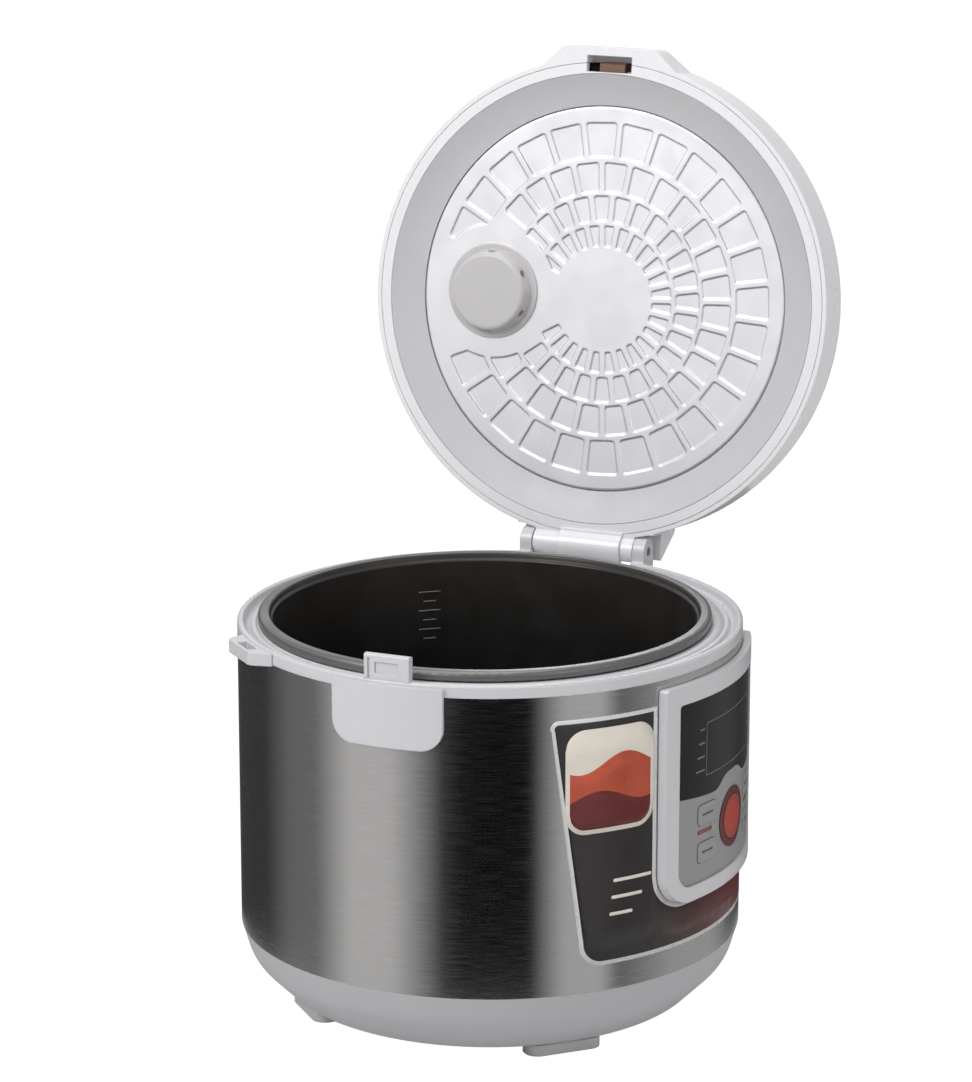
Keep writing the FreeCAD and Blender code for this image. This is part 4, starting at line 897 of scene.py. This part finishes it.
def pot_marks():
    """Short level lines on the far inner wall of the pot, every other one shorter."""
    grey = ink("mark_grey", (0.16, 0.15, 0.145), rough=0.4)
    radius = POT_RIM_RADIUS - POT_WALL_INSET - FILM_LIFT
    for row in range(LEVEL_ROWS):
        height = LEVEL_TOP - LEVEL_PITCH * row
        reach = LEVEL_LONG if row % 2 == 0 else LEVEL_SHORT
        film(
            "level_line_%d" % row,
            grey,
            radius,
            LEVEL_ANGLE - reach,
            LEVEL_ANGLE + reach,
            level(height),
            level(height + LEVEL_HEIGHT),
            LEVEL_COLUMNS,
            body="inner_pot",
            axis_x=POT_MIDDLE,
        )


# Camera and lights

def plan_vectors():
    """Directions to the right of the view and towards the camera, level with the floor."""
    right = Vector((math.cos(VIEW_AZIMUTH), math.sin(VIEW_AZIMUTH), 0.0))
    near = Vector((math.sin(VIEW_AZIMUTH), -math.cos(VIEW_AZIMUTH), 0.0))
    return right, near


def turn_to(made, direction):
    """Turns a camera or a lamp so that it looks along a direction."""
    made.rotation_mode = "QUATERNION"
    made.rotation_quaternion = direction.to_track_quat("-Z", "Y")


def add_camera():
    """Camera of the photograph."""
    right, near = plan_vectors()
    back = near * math.cos(VIEW_ELEVATION) + Vector((0, 0, math.sin(VIEW_ELEVATION)))
    data = bpy.data.cameras.new("photo_view")
    data.sensor_width = SENSOR_WIDTH
    data.lens = SENSOR_WIDTH * PIXELS_PER_METRE * VIEW_DISTANCE / max(IMAGE_WIDTH, IMAGE_HEIGHT)
    data.clip_end = VIEW_FAR
    camera = add_object("photo_view", data)
    camera.location = right * VIEW_SIDE + Vector((0, 0, VIEW_HEIGHT)) + back * VIEW_DISTANCE
    turn_to(camera, -back)
    bpy.context.scene.camera = camera


def add_lamp(name, across, near, height, size, power):
    """Square soft box placed in view directions and aimed at the cooker."""
    right, towards = plan_vectors()
    data = bpy.data.lights.new(name, "AREA")
    data.shape = "SQUARE"
    data.size = size
    data.energy = power
    lamp = add_object(name, data)
    lamp.location = right * across + towards * near + Vector((0, 0, height))
    turn_to(lamp, Vector((0, 0, LAMP_AIM_HEIGHT)) - lamp.location)


# World, floor and screen

def ray_kinds(shade):
    """Shares of rays that see the stage itself and of rays that come off a shiny surface."""
    path = shade.node("ShaderNodeLightPath").outputs
    seen = shade.math("MAXIMUM", path["Is Camera Ray"], path["Is Transmission Ray"])
    return seen, path["Is Glossy Ray"]


def add_world():
    """White to the camera, and in reflections bright at the horizon, dimmer above and to the right."""
    world = bpy.data.worlds.new("studio")
    bpy.context.scene.world = world
    world.use_nodes = True
    shade = Shading(world.node_tree)
    background = shade.nodes["Background"]
    shade.feed(PURE_WHITE, background.inputs["Color"])
    seen, shine = ray_kinds(shade)
    right, _ = plan_vectors()
    across = shade.along(right, "Generated")
    height = shade.axis("Z", "Generated")
    side = shade.span(across, WORLD_SIDE_LEFT, WORLD_SIDE_RIGHT, start=1.0, end=WORLD_SIDE_TONE)
    sky = shade.span(height, WORLD_SKY_LOW, WORLD_SKY_HIGH, start=1.0, end=WORLD_SKY_TONE)
    mirrored = shade.times(shine, shade.times(side, sky))
    rest = shade.minus(1.0, shade.math("MAXIMUM", seen, shine))
    fill = shade.times(rest, WORLD_FILL)
    shade.feed(shade.plus(shade.plus(seen, mirrored), fill), background.inputs["Strength"])


def add_floor():
    """Pale floor that takes the shadow and reads as white, greyer in reflections."""
    half = FLOOR_SIDE / 2
    corners = [(-half, -half, 0), (half, -half, 0), (half, half, 0), (-half, half, 0)]
    mesh = bpy.data.meshes.new("floor")
    mesh.from_pydata(corners, [], [(0, 1, 2, 3)])
    paint = Paint("floor_pale", (0.86, 0.86, 0.86), rough=0.8)
    seen, shine = ray_kinds(paint)
    glow = paint.node("ShaderNodeEmission")
    dimming = paint.times(shine, FLOOR_WHITE - FLOOR_SHINE)
    paint.feed(PURE_WHITE, glow.inputs["Color"])
    paint.feed(paint.minus(FLOOR_WHITE, dimming), glow.inputs["Strength"])
    mixed = paint.node("ShaderNodeMixShader")
    paint.feed(paint.plus(paint.times(seen, FLOOR_GLOW), shine), mixed.inputs["Fac"])
    paint.feed(paint.shader.outputs[0], mixed.inputs[1])
    paint.feed(glow.outputs[0], mixed.inputs[2])
    paint.set_surface(mixed.outputs[0])
    mesh.materials.append(paint.material)
    floor = add_object("floor", mesh)


def screen_paint():
    """Glow of the screen, by the angle from the camera."""
    paint = Paint("screen_tones", (0.5, 0.5, 0.5), rough=0.5)
    right, near = plan_vectors()
    turn = paint.math("ARCTAN2", paint.along(right), paint.along(near))
    share = paint.plus(paint.math("DIVIDE", turn, 2 * math.pi), 0.5)
    ramp = paint.node("ShaderNodeValToRGB")
    paint.feed(share, ramp.inputs["Fac"])
    stops = ramp.color_ramp.elements
    for angle, _ in SCREEN_TONES[1:-1]:
        stops.new((angle + 180) / 360)
    for stop, (_, tone) in zip(stops, SCREEN_TONES):
        stop.color = (tone, tone, tone, 1.0)
    glow = paint.node("ShaderNodeEmission")
    paint.feed(ramp.outputs["Color"], glow.inputs["Color"])
    paint.set_surface(glow.outputs[0])
    return paint


def add_screen():
    """Round studio screen of light and dark stripes that only reflections see."""
    corners = []
    faces = []
    for column in range(SCREEN_COLUMNS):
        angle = 2 * math.pi * column / SCREEN_COLUMNS
        for z in (0.0, SCREEN_HEIGHT):
            corners.append((SCREEN_RADIUS * math.cos(angle), SCREEN_RADIUS * math.sin(angle), z))
        first, second = 2 * column, 2 * ((column + 1) % SCREEN_COLUMNS)
        faces.append((first, second, second + 1, first + 1))
    mesh = bpy.data.meshes.new("screen")
    mesh.from_pydata(corners, [], faces)
    mesh.materials.append(screen_paint().material)
    screen = add_object("screen", mesh)
    screen.visible_camera = False
    screen.visible_diffuse = False
    screen.visible_shadow = False
    screen.visible_transmission = False


def add_studio():
    add_world()
    add_floor()
    add_lamp("key", across=-1.5, near=1.3, height=1.9, size=1.2, power=34.0)
    add_lamp("top", across=0.1, near=0.2, height=2.3, size=1.6, power=16.0)
    add_lamp("fill", across=1.7, near=1.2, height=0.9, size=1.2, power=6.0)
    add_screen()
    bpy.context.scene.view_settings.view_transform = "Standard"


paint_solids()
panel_print()
key_marks()
squeeze_springs()
collar_step()
decal()
pot_marks()
add_studio()
add_camera()
